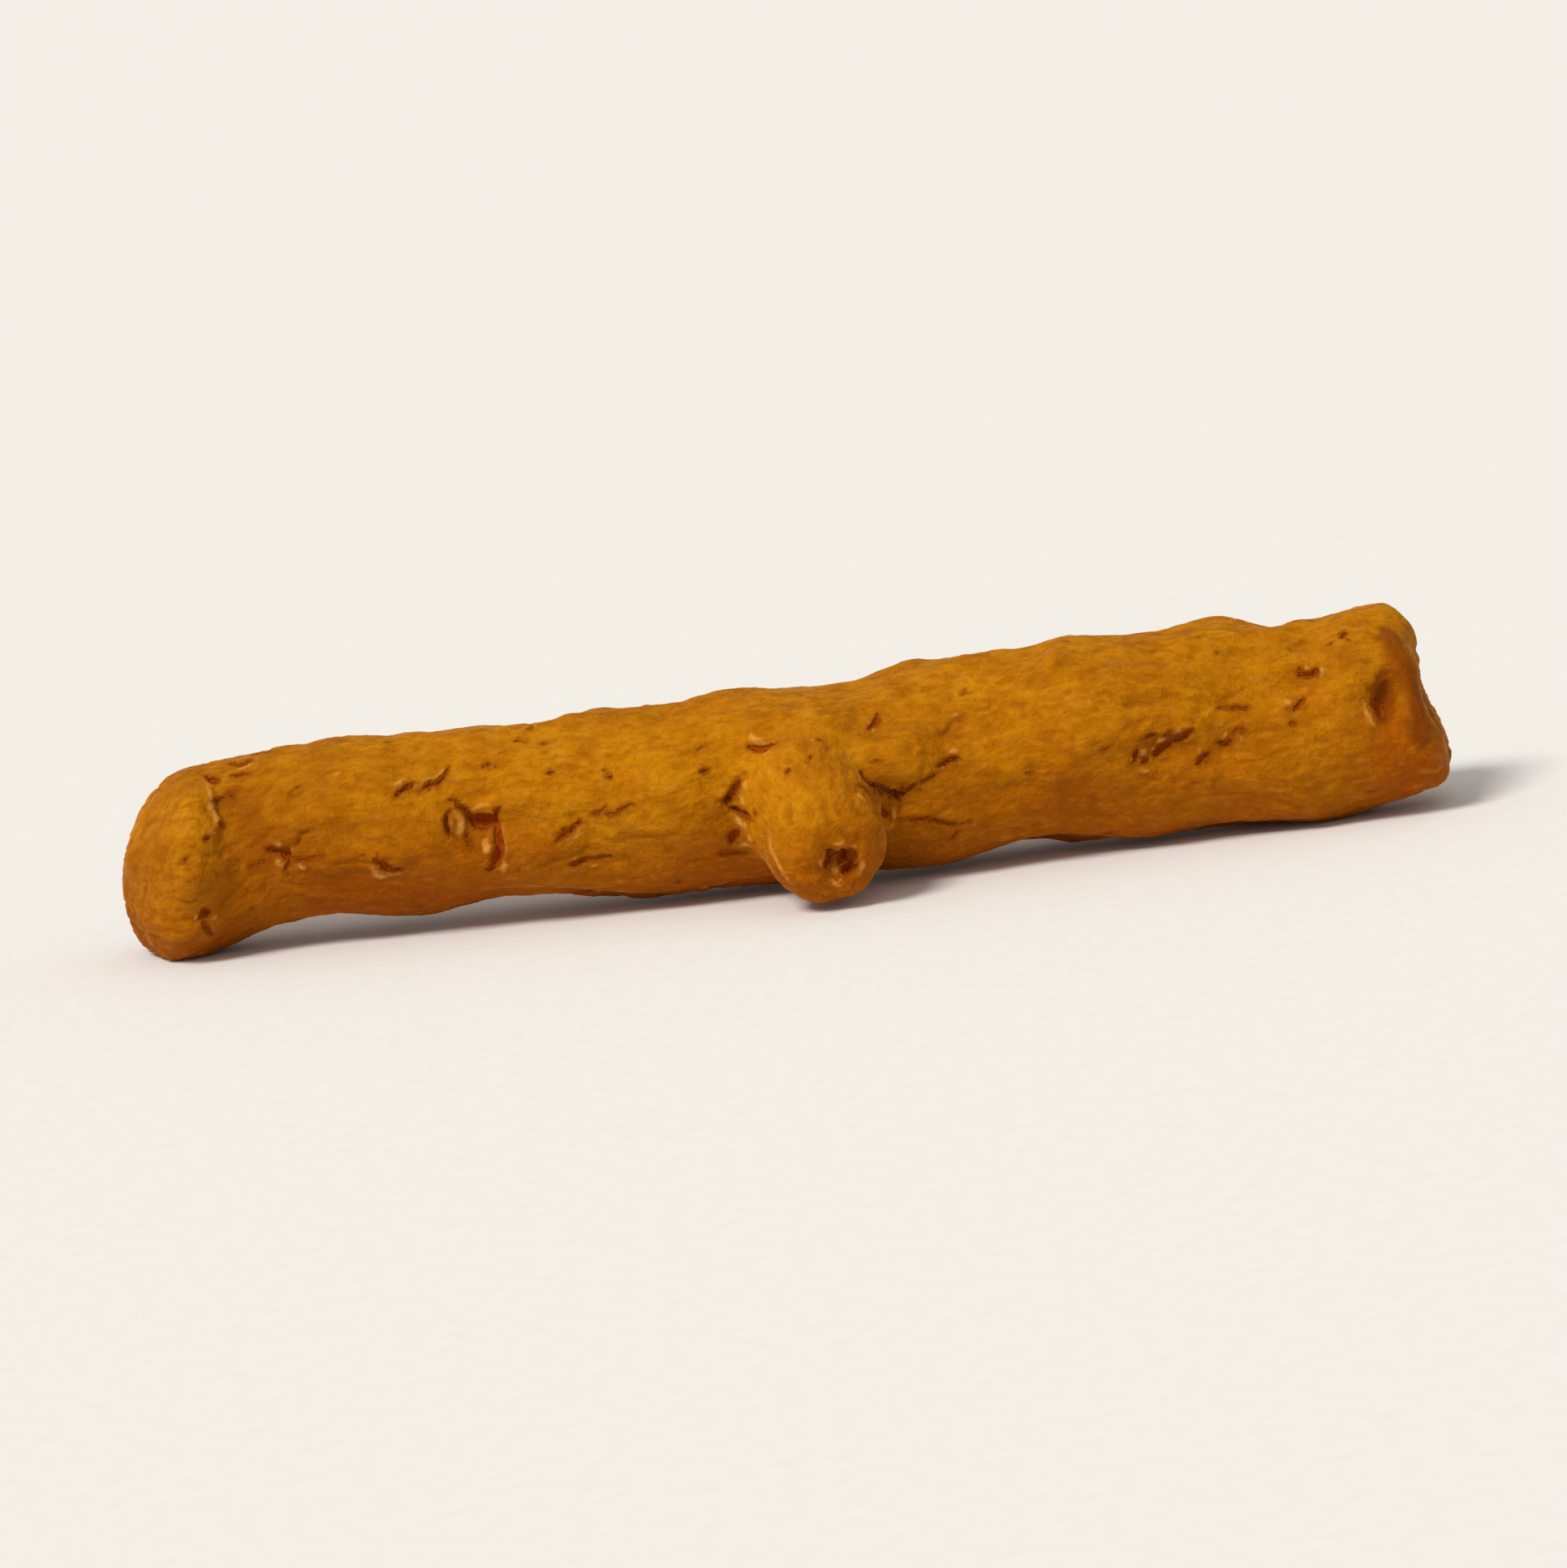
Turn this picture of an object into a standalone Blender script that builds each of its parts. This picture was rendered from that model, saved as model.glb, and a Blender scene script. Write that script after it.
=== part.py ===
"""A dried turmeric finger, lying on its side as it rests on a table.

The whole finger is one solid: a slightly bowed body with a blunt left end, a broken right end, ring
scars, wrinkles along its length, and one side bud that grew out of its front, down to the table.
Distances along the body run from its left end, and angles round it run from the front (0) over the
top (90) to the back (180). Everything is in metres, +Z up, with the front towards -Y.
"""

import math

import bmesh
import bpy
from mathutils import Vector, noise

MM = 0.001

# Driving dimensions
LENGTH = 75.6 * MM  # between the middles of the two end faces
BOW = 1.9 * MM  # how far both ends lie behind the middle, seen from above
REST_HEIGHT = -6.20 * MM  # height of the table below the line through the end faces

# The side view of the body: distance along, height of the middle, half height, half depth
OUTLINE = (
    (0.0 * MM, -1.25 * MM, 5.00 * MM, 5.05 * MM),
    (3.0 * MM, -1.00 * MM, 5.45 * MM, 5.40 * MM),
    (7.6 * MM, -0.08 * MM, 5.20 * MM, 4.85 * MM),
    (12.8 * MM, 0.03 * MM, 5.08 * MM, 4.95 * MM),
    (19.2 * MM, 0.10 * MM, 4.95 * MM, 5.05 * MM),
    (26.2 * MM, -0.12 * MM, 5.24 * MM, 5.30 * MM),
    (32.7 * MM, -0.36 * MM, 5.40 * MM, 5.60 * MM),
    (39.6 * MM, -0.30 * MM, 5.46 * MM, 5.80 * MM),
    (46.8 * MM, 0.10 * MM, 5.66 * MM, 5.75 * MM),
    (53.8 * MM, 0.10 * MM, 5.76 * MM, 5.70 * MM),
    (60.8 * MM, -0.12 * MM, 5.72 * MM, 5.60 * MM),
    (67.0 * MM, -0.55 * MM, 5.50 * MM, 5.30 * MM),
    (71.4 * MM, -0.30 * MM, 5.44 * MM, 5.40 * MM),
    (75.6 * MM, -0.15 * MM, 5.25 * MM, 5.15 * MM),
)

# Each end rounds over this length, with a face blunter the higher its power
LEFT_ROUND, LEFT_POWER = 3.9 * MM, 2.15
RIGHT_ROUND, RIGHT_POWER = 1.7 * MM, 3.0
# The end faces are cut slantwise, sideways and upwards, and the slant dies out over a length of body
LEFT_SLANT, LEFT_LEAN = 0.20, 0.20
RIGHT_SLANT, RIGHT_LEAN = 0.08, -0.20
SLANT_LENGTH = 12.0 * MM
# Bumps on the end faces, and the hollow in the middle of the broken right face
END_BUMP_HEIGHT, END_BUMP_SIZE = 0.75 * MM, 2.7 * MM
LEFT_SEED, RIGHT_SEED = 0.0, 7.3  # give each end face bumps of its own
RIGHT_HOLLOW, RIGHT_HOLLOW_WIDTH = 0.8 * MM, 2.6 * MM

# Ring scars of the old leaves: distance along, and how high the ring stands
RINGS = (
    (3.1 * MM, 0.30 * MM),
    (9.9 * MM, 0.20 * MM),
    (18.4 * MM, 0.26 * MM),
    (28.6 * MM, 0.18 * MM),
    (45.6 * MM, 0.22 * MM),
    (54.0 * MM, 0.26 * MM),
    (61.4 * MM, 0.22 * MM),
    (68.2 * MM, 0.30 * MM),
)
RING_WIDTH = 0.80 * MM
RING_WANDER, RING_TURNS = 3.0 * MM, 1.3  # how far a ring strays along the body on its way round
RING_STRENGTH, RING_FADING = 0.70, 2.2  # a ring is stronger and weaker on its way round

# Dents and swellings: distance along, angle, length and width of the spot, height (a dent is negative)
SPOTS = (
    (3.4 * MM, 50.0, 1.5 * MM, 3.8 * MM, 0.60 * MM),  # lip of the left end
    (6.9 * MM, 16.0, 1.6 * MM, 3.2 * MM, -0.70 * MM),  # hollow behind that lip
    (9.7 * MM, -2.0, 1.1 * MM, 1.2 * MM, -0.55 * MM),  # star-shaped crack
    (20.6 * MM, 0.0, 1.4 * MM, 1.9 * MM, -0.85 * MM),  # scar of a lost root
    (26.1 * MM, -3.0, 2.0 * MM, 1.0 * MM, -0.35 * MM),  # short furrow
    (39.8 * MM, 30.0, 3.9 * MM, 2.9 * MM, 0.75 * MM),  # swelling over the foot of the bud
    (34.9 * MM, 1.0, 1.1 * MM, 2.2 * MM, -0.75 * MM),  # crack left of the bud
    (44.8 * MM, 13.0, 2.2 * MM, 1.6 * MM, 0.90 * MM),  # low bump right of the bud
    (43.8 * MM, -7.0, 2.0 * MM, 1.1 * MM, -0.85 * MM),  # fold below that bump
    (47.6 * MM, 20.0, 1.1 * MM, 1.1 * MM, -0.40 * MM),
    (59.6 * MM, -2.0, 2.2 * MM, 1.1 * MM, -0.75 * MM),  # long scar near the right end
    (62.7 * MM, -2.0, 1.4 * MM, 1.0 * MM, -0.50 * MM),
    (67.9 * MM, 32.0, 1.2 * MM, 1.1 * MM, -0.40 * MM),
    (30.2 * MM, 94.0, 2.4 * MM, 2.6 * MM, 0.35 * MM),  # low swellings and a dip along the top
    (57.2 * MM, 94.0, 2.0 * MM, 2.6 * MM, -0.35 * MM),
    (64.0 * MM, 98.0, 2.4 * MM, 2.6 * MM, 0.75 * MM),
    (71.5 * MM, 80.0, 2.2 * MM, 4.0 * MM, 0.35 * MM),  # knuckle on top of the right end
    (72.6 * MM, 15.0, 1.1 * MM, 2.1 * MM, -1.15 * MM),  # fold in the right end
    (23.5 * MM, 118.0, 1.8 * MM, 1.2 * MM, -0.60 * MM),
    (50.6 * MM, 172.0, 2.7 * MM, 2.5 * MM, 1.20 * MM),  # scar of a second bud, on the back
    (50.6 * MM, 172.0, 1.2 * MM, 1.2 * MM, -1.50 * MM),
    (12.8 * MM, 196.0, 1.6 * MM, 1.3 * MM, -0.65 * MM),
    (30.5 * MM, 158.0, 2.2 * MM, 1.1 * MM, -0.55 * MM),
    (64.8 * MM, 150.0, 1.7 * MM, 1.1 * MM, -0.60 * MM),
    (27.5 * MM, 252.0, 1.6 * MM, 1.4 * MM, -0.60 * MM),
    (51.3 * MM, 262.0, 2.6 * MM, 1.1 * MM, -0.45 * MM),
    (3.8 * MM, 248.0, 2.6 * MM, 2.6 * MM, 0.75 * MM),  # the two swellings it rests on, with the bud
    (66.4 * MM, 248.0, 2.9 * MM, 2.7 * MM, 0.85 * MM),
)

# Wrinkles run along the body, and soft lumps make it uneven
WRINKLE_HEIGHT, WRINKLE_LENGTH, WRINKLE_WIDTH = 0.46 * MM, 9.0 * MM, 2.3 * MM
WRINKLE_CREST = 0.07  # how much of the noise a wrinkle's crest is rounded over
WRINKLE_SEED = Vector((0.0, 3.7, 1.9))  # keeps the wrinkles apart from the lumps
LUMP_HEIGHT, LUMP_SIZE = 0.75 * MM, 6.5 * MM

# The side bud: where it grows, and its middle line from its root to its tip, from the body's middle
BUD_ALONG = 39.3 * MM
BUD_LINE = (
    Vector((0.0, -1.0, 0.6)) * MM,
    Vector((0.1, -4.6, 0.1)) * MM,
    Vector((0.5, -7.2, -2.15)) * MM,
    Vector((1.1, -10.5, -3.25)) * MM,
)
# Its radius at the root, where it leaves the skin of the body, and in its straight outer half
BUD_ROOT, BUD_FOOT, BUD_HEAD = 2.6 * MM, 4.3 * MM, 3.5 * MM
# Shares of its length: how far the root reaches, where the foot swells most, and over how much
ROOT_SHARE, FOOT_SHARE, FOOT_SPREAD = 0.22, 0.34, 0.22
BUD_ROUND, BUD_POWER = 2.7 * MM, 2.2  # its tip closes over this length, as the ends do
BUD_BUMP_HEIGHT, BUD_BUMP_SIZE = 0.30 * MM, 2.4 * MM
# The dried growing point in its tip is a pit with a few points, like a star
PIT_DEPTH, PIT_WIDTH = 1.25 * MM, 0.95 * MM
PIT_POINTS, PIT_UNEVEN = 5, 0.35

# How finely the faces follow the shape, with closer points near the rings
BODY_SIDES, BODY_STEP = 48, 0.90 * MM
RING_REACH, RING_FINER = 2.4 * MM, 0.42
BUD_SIDES, BUD_STEPS, TIP_STEPS = 30, 9, 9
END_RINGS = 6

ROOT_COLOUR = (0.50, 0.175, 0.008, 1.0)


def between(table, along):
    """The values of a table at a distance along it, on a smooth curve through its rows."""
    last = len(table) - 2
    row = max(i for i in range(last + 1) if i == 0 or table[i][0] <= along)
    start, end = table[row], table[row + 1]
    before, after = table[max(row - 1, 0)], table[min(row + 2, last + 1)]
    width = end[0] - start[0]
    t = min(max((along - start[0]) / width, 0.0), 1.0)
    values = []
    for column in range(1, len(start)):
        slope_in = (end[column] - before[column]) / (end[0] - before[0]) * width
        slope_out = (after[column] - start[column]) / (after[0] - start[0]) * width
        values.append(
            start[column] * (1 + 2 * t) * (1 - t) ** 2
            + slope_in * t * (1 - t) ** 2
            + end[column] * t * t * (3 - 2 * t)
            - slope_out * t * t * (1 - t)
        )
    return values


def rounding(distance, length, power):
    """The share of the full radius at a distance from an end that rounds over a length."""
    if distance >= length:
        return 1.0
    return (1.0 - (1.0 - distance / length) ** power) ** (1.0 / power)


def fade(distance, length):
    """1 at no distance, falling smoothly to 0 at a length."""
    t = min(max(1.0 - distance / length, 0.0), 1.0)
    return t * t * (3.0 - 2.0 * t)


def hill(offset, width):
    """A smooth hill of height 1 with a given half width."""
    return math.exp(-((offset / width) ** 2))


def spot_relief(along, angle, radius):
    """Height that the dents and swellings add at a point of the body."""
    height = 0.0
    for spot_along, spot_angle, length, width, rise in SPOTS:
        turn = (angle - math.radians(spot_angle) + math.pi) % math.tau - math.pi
        height += rise * hill(along - spot_along, length) * hill(turn * radius, width)
    return height


def relief(along, angle, radius):
    """Height of the skin over the plain body: lumps, wrinkles, ring scars and spots."""
    across = Vector((0.0, math.cos(angle), math.sin(angle))) * radius
    lumps = noise.noise((across + Vector((along, 0.0, 0.0))) / LUMP_SIZE)
    place = across / WRINKLE_WIDTH + Vector((along / WRINKLE_LENGTH, 0.0, 0.0))
    wrinkles = 0.5 - math.hypot(noise.noise(place + WRINKLE_SEED), WRINKLE_CREST) * 2.0
    height = LUMP_HEIGHT * lumps + WRINKLE_HEIGHT * wrinkles
    for ring_along, rise in RINGS:
        place = across * RING_TURNS / LUMP_SIZE + Vector((ring_along / MM, 0.0, 0.0))
        stray = RING_WANDER * noise.noise(place)
        strength = max(RING_STRENGTH + RING_FADING * noise.noise(-place), 0.0)
        height += rise * strength * hill(along - ring_along - stray, RING_WIDTH)
    return height + spot_relief(along, angle, radius)


def body_middle(along):
    """The middle of the body's cross-section, with its half height and half depth."""
    height, half_height, half_depth = between(OUTLINE, along)
    behind = BOW * (2.0 * along / LENGTH - 1.0) ** 2
    return Vector((along, behind, height)), half_height, half_depth


def on_table(point):
    """The point, pressed flat where it would sink below the table."""
    return Vector((point.x, point.y, max(point.z, REST_HEIGHT)))


def end_relief(along, depth, height):
    """How far a point near an end moves along the body, for the bumps of the end faces."""
    seed = LEFT_SEED if along < LENGTH / 2 else RIGHT_SEED
    bumps = noise.noise(Vector((seed, depth / END_BUMP_SIZE, height / END_BUMP_SIZE)))
    left = fade(along, LEFT_ROUND)
    right = fade(LENGTH - along, RIGHT_ROUND)
    hollow = RIGHT_HOLLOW * hill(math.hypot(depth, height), RIGHT_HOLLOW_WIDTH)
    return (left + right) * END_BUMP_HEIGHT * bumps - right * hollow


def body_point(along, angle):
    """A point of the body's skin."""
    middle, half_height, half_depth = body_middle(along)
    closed = rounding(along, LEFT_ROUND, LEFT_POWER)
    closed *= rounding(LENGTH - along, RIGHT_ROUND, RIGHT_POWER)
    radius = math.hypot(half_depth * math.cos(angle), half_height * math.sin(angle))
    skin = closed * (1.0 + relief(along, angle, radius) / radius)
    depth = -half_depth * math.cos(angle) * skin
    height = half_height * math.sin(angle) * skin
    left, right = fade(along, SLANT_LENGTH), fade(LENGTH - along, SLANT_LENGTH)
    shift = left * (LEFT_LEAN * height - LEFT_SLANT * depth)
    shift += right * (RIGHT_LEAN * height + RIGHT_SLANT * depth) + end_relief(along, depth, height)
    return on_table(middle + Vector((shift, depth, height)))


def body_stations():
    """Distances along the body at which it has a ring of points, closer where the ends round."""
    turns = [math.pi / 2 * i / END_RINGS for i in range(1, END_RINGS)]
    left = [LEFT_ROUND * (1.0 - math.cos(turn)) for turn in turns]
    right = [LENGTH - RIGHT_ROUND / LEFT_ROUND * place for place in reversed(left)]
    straight = [LEFT_ROUND]
    while straight[-1] < LENGTH - RIGHT_ROUND - BODY_STEP:
        near = max(hill(straight[-1] - ring, RING_REACH) for ring, rise in RINGS)
        straight.append(straight[-1] + BODY_STEP * (1.0 - RING_FINER * near))
    return left + straight + [LENGTH - RIGHT_ROUND] + right


def bud_line(share):
    """A point of the bud's middle line, from its root (0) to its tip (1)."""
    a, b, c, d = BUD_LINE
    rest = 1.0 - share
    return (
        a * rest**3 + 3 * b * rest * rest * share + 3 * c * rest * share * share + d * share**3
    )


def bud_shares():
    """Shares of the bud's length at which it has a ring of points, closer where its tip closes."""
    tip = BUD_ROUND / (BUD_LINE[-1] - BUD_LINE[0]).length
    straight = [(1.0 - tip) * i / BUD_STEPS for i in range(BUD_STEPS)]
    turns = [math.pi / 2 * (1.0 - i / TIP_STEPS) for i in range(TIP_STEPS)]
    return straight + [1.0 - tip * (1.0 - math.cos(turn)) for turn in turns]


def bud_ring(share):
    """A ring of points of the bud's skin."""
    centre = body_middle(BUD_ALONG)[0] + bud_line(share)
    way = (bud_line(share + 0.01) - bud_line(share - 0.01)).normalized()
    side = way.cross(Vector((0, 0, 1))).normalized()
    up = side.cross(way)
    reach = (BUD_LINE[-1] - BUD_LINE[0]).length
    radius = BUD_HEAD + (BUD_FOOT - BUD_HEAD) * hill(share - FOOT_SHARE, FOOT_SPREAD)
    radius += (BUD_ROOT - BUD_HEAD) * fade(share, ROOT_SHARE)
    radius *= rounding((1.0 - share) * reach, BUD_ROUND, BUD_POWER)
    ring = []
    for i in range(BUD_SIDES):
        turn = math.tau * i / BUD_SIDES
        out = side * math.cos(turn) + up * math.sin(turn)
        bumps = BUD_BUMP_HEIGHT * noise.noise((centre + out * radius) / BUD_BUMP_SIZE)
        pit_width = PIT_WIDTH * (1.0 + PIT_UNEVEN * math.cos(PIT_POINTS * turn))
        pit = PIT_DEPTH * hill(radius, pit_width) * way
        ring.append(on_table(centre + out * radius * (1.0 + bumps / BUD_HEAD) - pit))
    return ring


def skin_mesh(name, first, rings, last):
    """A closed mesh through rings of points, with a pole at each end."""
    mesh = bpy.data.meshes.new(name)
    shape = bmesh.new()
    loops = [[shape.verts.new(point) for point in ring] for ring in rings]
    poles = [shape.verts.new(first), shape.verts.new(last)]
    sides = len(rings[0])
    for i in range(sides):
        j = (i + 1) % sides
        shape.faces.new((poles[0], loops[0][i], loops[0][j]))
        shape.faces.new((poles[1], loops[-1][j], loops[-1][i]))
        for near, far in zip(loops, loops[1:]):
            shape.faces.new((near[i], far[i], far[j], near[j]))
    bmesh.ops.recalc_face_normals(shape, faces=shape.faces)
    shape.to_mesh(mesh)
    shape.free()
    return mesh


def add_object(name, mesh):
    """A new object in the scene."""
    made = bpy.data.objects.new(name, mesh)
    bpy.context.collection.objects.link(made)
    return made


def make_body():
    """The body's mesh, without the bud."""
    angles = [math.tau * i / BODY_SIDES for i in range(BODY_SIDES)]
    rings = [[body_point(along, angle) for angle in angles] for along in body_stations()]
    return skin_mesh("body", body_point(0.0, 0.0), rings, body_point(LENGTH, 0.0))


def make_bud():
    """The bud's mesh, rooted well inside the body."""
    middle = body_middle(BUD_ALONG)[0]
    pit_bottom = bud_line(1.0) - (bud_line(1.0) - bud_line(0.99)).normalized() * PIT_DEPTH
    rings = [bud_ring(share) for share in bud_shares()]
    return skin_mesh("bud", middle + bud_line(0.0), rings, middle + pit_bottom)


def root_material():
    """The dusty ochre skin."""
    material = bpy.data.materials.new("turmeric_skin")
    material.use_nodes = True
    skin = material.node_tree.nodes["Principled BSDF"]
    skin.inputs["Base Color"].default_value = ROOT_COLOUR
    skin.inputs["Roughness"].default_value = 0.85
    skin.inputs["Metallic"].default_value = 0.0
    return material


def join_bud(body, bud):
    """Grows the bud out of the body, as one skin."""
    union = body.modifiers.new("bud", "BOOLEAN")
    union.operation = "UNION"
    union.solver = "EXACT"
    union.object = bud
    graph = bpy.context.evaluated_depsgraph_get()
    joined = bpy.data.meshes.new_from_object(body.evaluated_get(graph))
    body.modifiers.clear()
    body.data = joined
    bpy.data.objects.remove(bud)


def centre_on_table(root):
    """Moves the finger so that the world origin is on the table, below the middle of its box."""
    low = Vector(min(vertex.co[axis] for vertex in root.data.vertices) for axis in range(3))
    high = Vector(max(vertex.co[axis] for vertex in root.data.vertices) for axis in range(3))
    root.location = -Vector(((low.x + high.x) / 2, (low.y + high.y) / 2, low.z))


def main():
    for old in list(bpy.data.objects):
        bpy.data.objects.remove(old)
    root = add_object("turmeric_root", make_body())
    join_bud(root, add_object("bud", make_bud()))
    root.data.materials.clear()
    root.data.materials.append(root_material())
    root.data.shade_smooth()
    centre_on_table(root)


main()
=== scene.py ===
"""A dried turmeric finger: its wrinkled ochre skin, cracks, pits and scars, on a pale floor in soft light.

Lengths in the class fields are millimetres unless a name says otherwise, and angles are degrees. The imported
model is in metres. "Along" runs from the domed left end to the broken right end. "Round" turns about the
finger's middle line: 0 faces the front, 90 the top, 180 the back and 270 the table.
"""

import itertools
import logging
import math
import random
from dataclasses import dataclass, field
from enum import Enum

import bmesh
import bpy
import numpy as np
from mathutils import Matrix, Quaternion, Vector
from mathutils.bvhtree import BVHTree


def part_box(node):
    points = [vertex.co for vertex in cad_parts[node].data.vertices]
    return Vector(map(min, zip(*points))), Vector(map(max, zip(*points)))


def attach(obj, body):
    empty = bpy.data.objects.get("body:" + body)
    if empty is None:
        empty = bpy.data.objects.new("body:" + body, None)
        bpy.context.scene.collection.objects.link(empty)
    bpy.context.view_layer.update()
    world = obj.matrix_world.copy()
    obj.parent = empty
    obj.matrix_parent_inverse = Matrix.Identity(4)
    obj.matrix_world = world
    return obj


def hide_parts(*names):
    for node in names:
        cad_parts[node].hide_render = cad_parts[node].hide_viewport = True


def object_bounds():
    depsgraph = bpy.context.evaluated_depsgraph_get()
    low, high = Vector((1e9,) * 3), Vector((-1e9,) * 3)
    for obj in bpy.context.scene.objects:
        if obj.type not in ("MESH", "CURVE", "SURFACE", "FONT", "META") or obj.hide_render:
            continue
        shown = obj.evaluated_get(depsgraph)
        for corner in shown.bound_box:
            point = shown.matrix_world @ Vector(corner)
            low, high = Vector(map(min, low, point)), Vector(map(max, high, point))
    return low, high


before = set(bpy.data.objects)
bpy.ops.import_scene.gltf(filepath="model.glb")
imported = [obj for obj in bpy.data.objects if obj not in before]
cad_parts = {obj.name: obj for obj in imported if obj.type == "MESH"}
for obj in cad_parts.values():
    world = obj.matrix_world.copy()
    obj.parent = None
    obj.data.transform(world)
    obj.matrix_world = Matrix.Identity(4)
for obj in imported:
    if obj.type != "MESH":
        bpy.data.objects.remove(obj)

CAD_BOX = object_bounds()
MM = 0.001
PHOTO_WIDTH, PHOTO_HEIGHT = 1931, 1932

Colour = tuple[float, float, float, float]
Range = tuple[float, float]
Cell = tuple[float, float, float]
Spot = tuple[float, float]

log = logging.getLogger("turmeric")

LATTICE_PRIMES = (73856093, 19349663, 83492791)
SEED_FACTOR, SEED_SHIFT, SEED_STEP = 40503, 977, 31
MIXER, LARGEST_HASH = 1274126177, 0x7FFFFFFF
LATTICE_STEPS = np.array(
    [(1, 1, 0), (-1, 1, 0), (1, -1, 0), (-1, -1, 0), (1, 0, 1), (-1, 0, 1),
     (1, 0, -1), (-1, 0, -1), (0, 1, 1), (0, -1, 1), (0, 1, -1), (0, -1, -1)],
    dtype=float,
)


def lattice_hash(cell: np.ndarray, seed: int) -> np.ndarray:
    """Scrambles whole-number lattice cells.

    Args:
        cell: one row of three whole numbers for each cell.
        seed: another seed gives another scramble.

    Returns:
        One non-negative whole number for each row.
    """
    first, second, third = (cell[:, axis] * prime for axis, prime in enumerate(LATTICE_PRIMES))
    mixed = first ^ second ^ third ^ (seed * SEED_FACTOR + SEED_SHIFT)
    mixed = ((mixed ^ (mixed >> 13)) * MIXER) & LARGEST_HASH
    return mixed ^ (mixed >> 16)


def noise(points: np.ndarray, seed: int) -> np.ndarray:
    """Smooth gradient noise.

    Args:
        points: one row of three coordinates for each point, one lattice cell a unit.
        seed: another seed gives another field.

    Returns:
        One value for each point, about -1 to 1.
    """
    cell = np.floor(points).astype(np.int64)
    inside = points - cell
    fade = inside**3 * (inside * (inside * 6.0 - 15.0) + 10.0)
    total = np.zeros(len(points))
    for corner in itertools.product((0, 1), repeat=3):
        offset = np.array(corner)
        slope = LATTICE_STEPS[lattice_hash(cell + offset, seed) % len(LATTICE_STEPS)]
        share = np.prod(np.where(offset == 1, fade, 1.0 - fade), axis=1)
        total += share * np.sum(slope * (inside - offset), axis=1)
    return total


def layered_noise(points: np.ndarray, seed: int, layers: int = 3, roughness: float = 0.5) -> np.ndarray:
    """Sums noise at doubling frequencies.

    Args:
        points: one row of three coordinates for each point, one cell of the coarsest layer a unit.
        seed: another seed gives another field.
        layers: how many frequencies are summed.
        roughness: the strength of each layer, as a share of the one before.

    Returns:
        One value for each point, about -1 to 1.
    """
    total = np.zeros(len(points))
    for layer in range(layers):
        total += roughness**layer * noise(points * 2.0**layer, seed + SEED_STEP * layer)
    return total


def ease(value: np.ndarray, low: float, high: float) -> np.ndarray:
    """Rises smoothly from 0 at low to 1 at high, or falls where high is the smaller."""
    part = np.clip((value - low) / (high - low), 0.0, 1.0)
    return part * part * (3.0 - 2.0 * part)


def level(pair: Range, value: float | np.ndarray) -> float | np.ndarray:
    """A usual value plus a change in step with another value, from the pair of them."""
    return pair[0] + pair[1] * value


@dataclass(frozen=True)
class Pattern:
    """A field of noise. Its cell's size is in mm: one number, or three, along the grain and across it."""

    cell: float | Cell
    seed: int
    layers: int = 1
    roughness: float = 0.5

    def at(self, points: np.ndarray) -> np.ndarray:
        """Its value at each point, about -1 to 1."""
        return layered_noise(points / np.array(self.cell), self.seed, self.layers, self.roughness)


class Face(Enum):
    """The part of the finger that a patch of marks is on."""

    SIDE = "its paths run right along the finger and up round it"
    LEFT_END = "the domed end: its paths run towards the back and up, from the middle"
    RIGHT_END = "the broken end: its paths run towards the back and up, from the middle"


class Kind(Enum):
    """What sort of mark it is.

    Its four values are the steepness of its walls, how far its inside shows the red-brown flesh, how far the
    skin beside it curls up in mm, and how pale and flaky its raised skin is.
    """

    CRACK = (0.75, 1.0, 0.06, 1.0)
    CREASE = (0.20, 0.0, 0.02, 0.5)
    PIT = (0.50, 0.8, 0.05, 0.8)
    CHIP = (0.45, 0.0, 0.0, 1.0)
    RIDGE = (0.20, 0.0, 0.0, 0.25)
    # stains, and painted shade laid over hollows and over faces turned from the light
    STAIN = (0.0, 0.0, 0.0, 0.0)

    def __init__(self, steepness: float, darkness: float, lift: float, paleness: float) -> None:
        """Keeps the four values under their names.

        Args:
            steepness: 0 for walls that slope to the middle, up to 1 for upright ones with a flat bottom.
            darkness: how far its inside shows the flesh.
            lift: how far the skin beside it curls up, in mm.
            paleness: how pale and flaky its raised skin is.
        """
        self.steepness = steepness
        self.darkness = darkness
        self.lift = lift
        self.paleness = paleness

    @property
    def raised(self) -> bool:
        """Whether it stands up from the skin."""
        return self in (Kind.CHIP, Kind.RIDGE)


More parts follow.
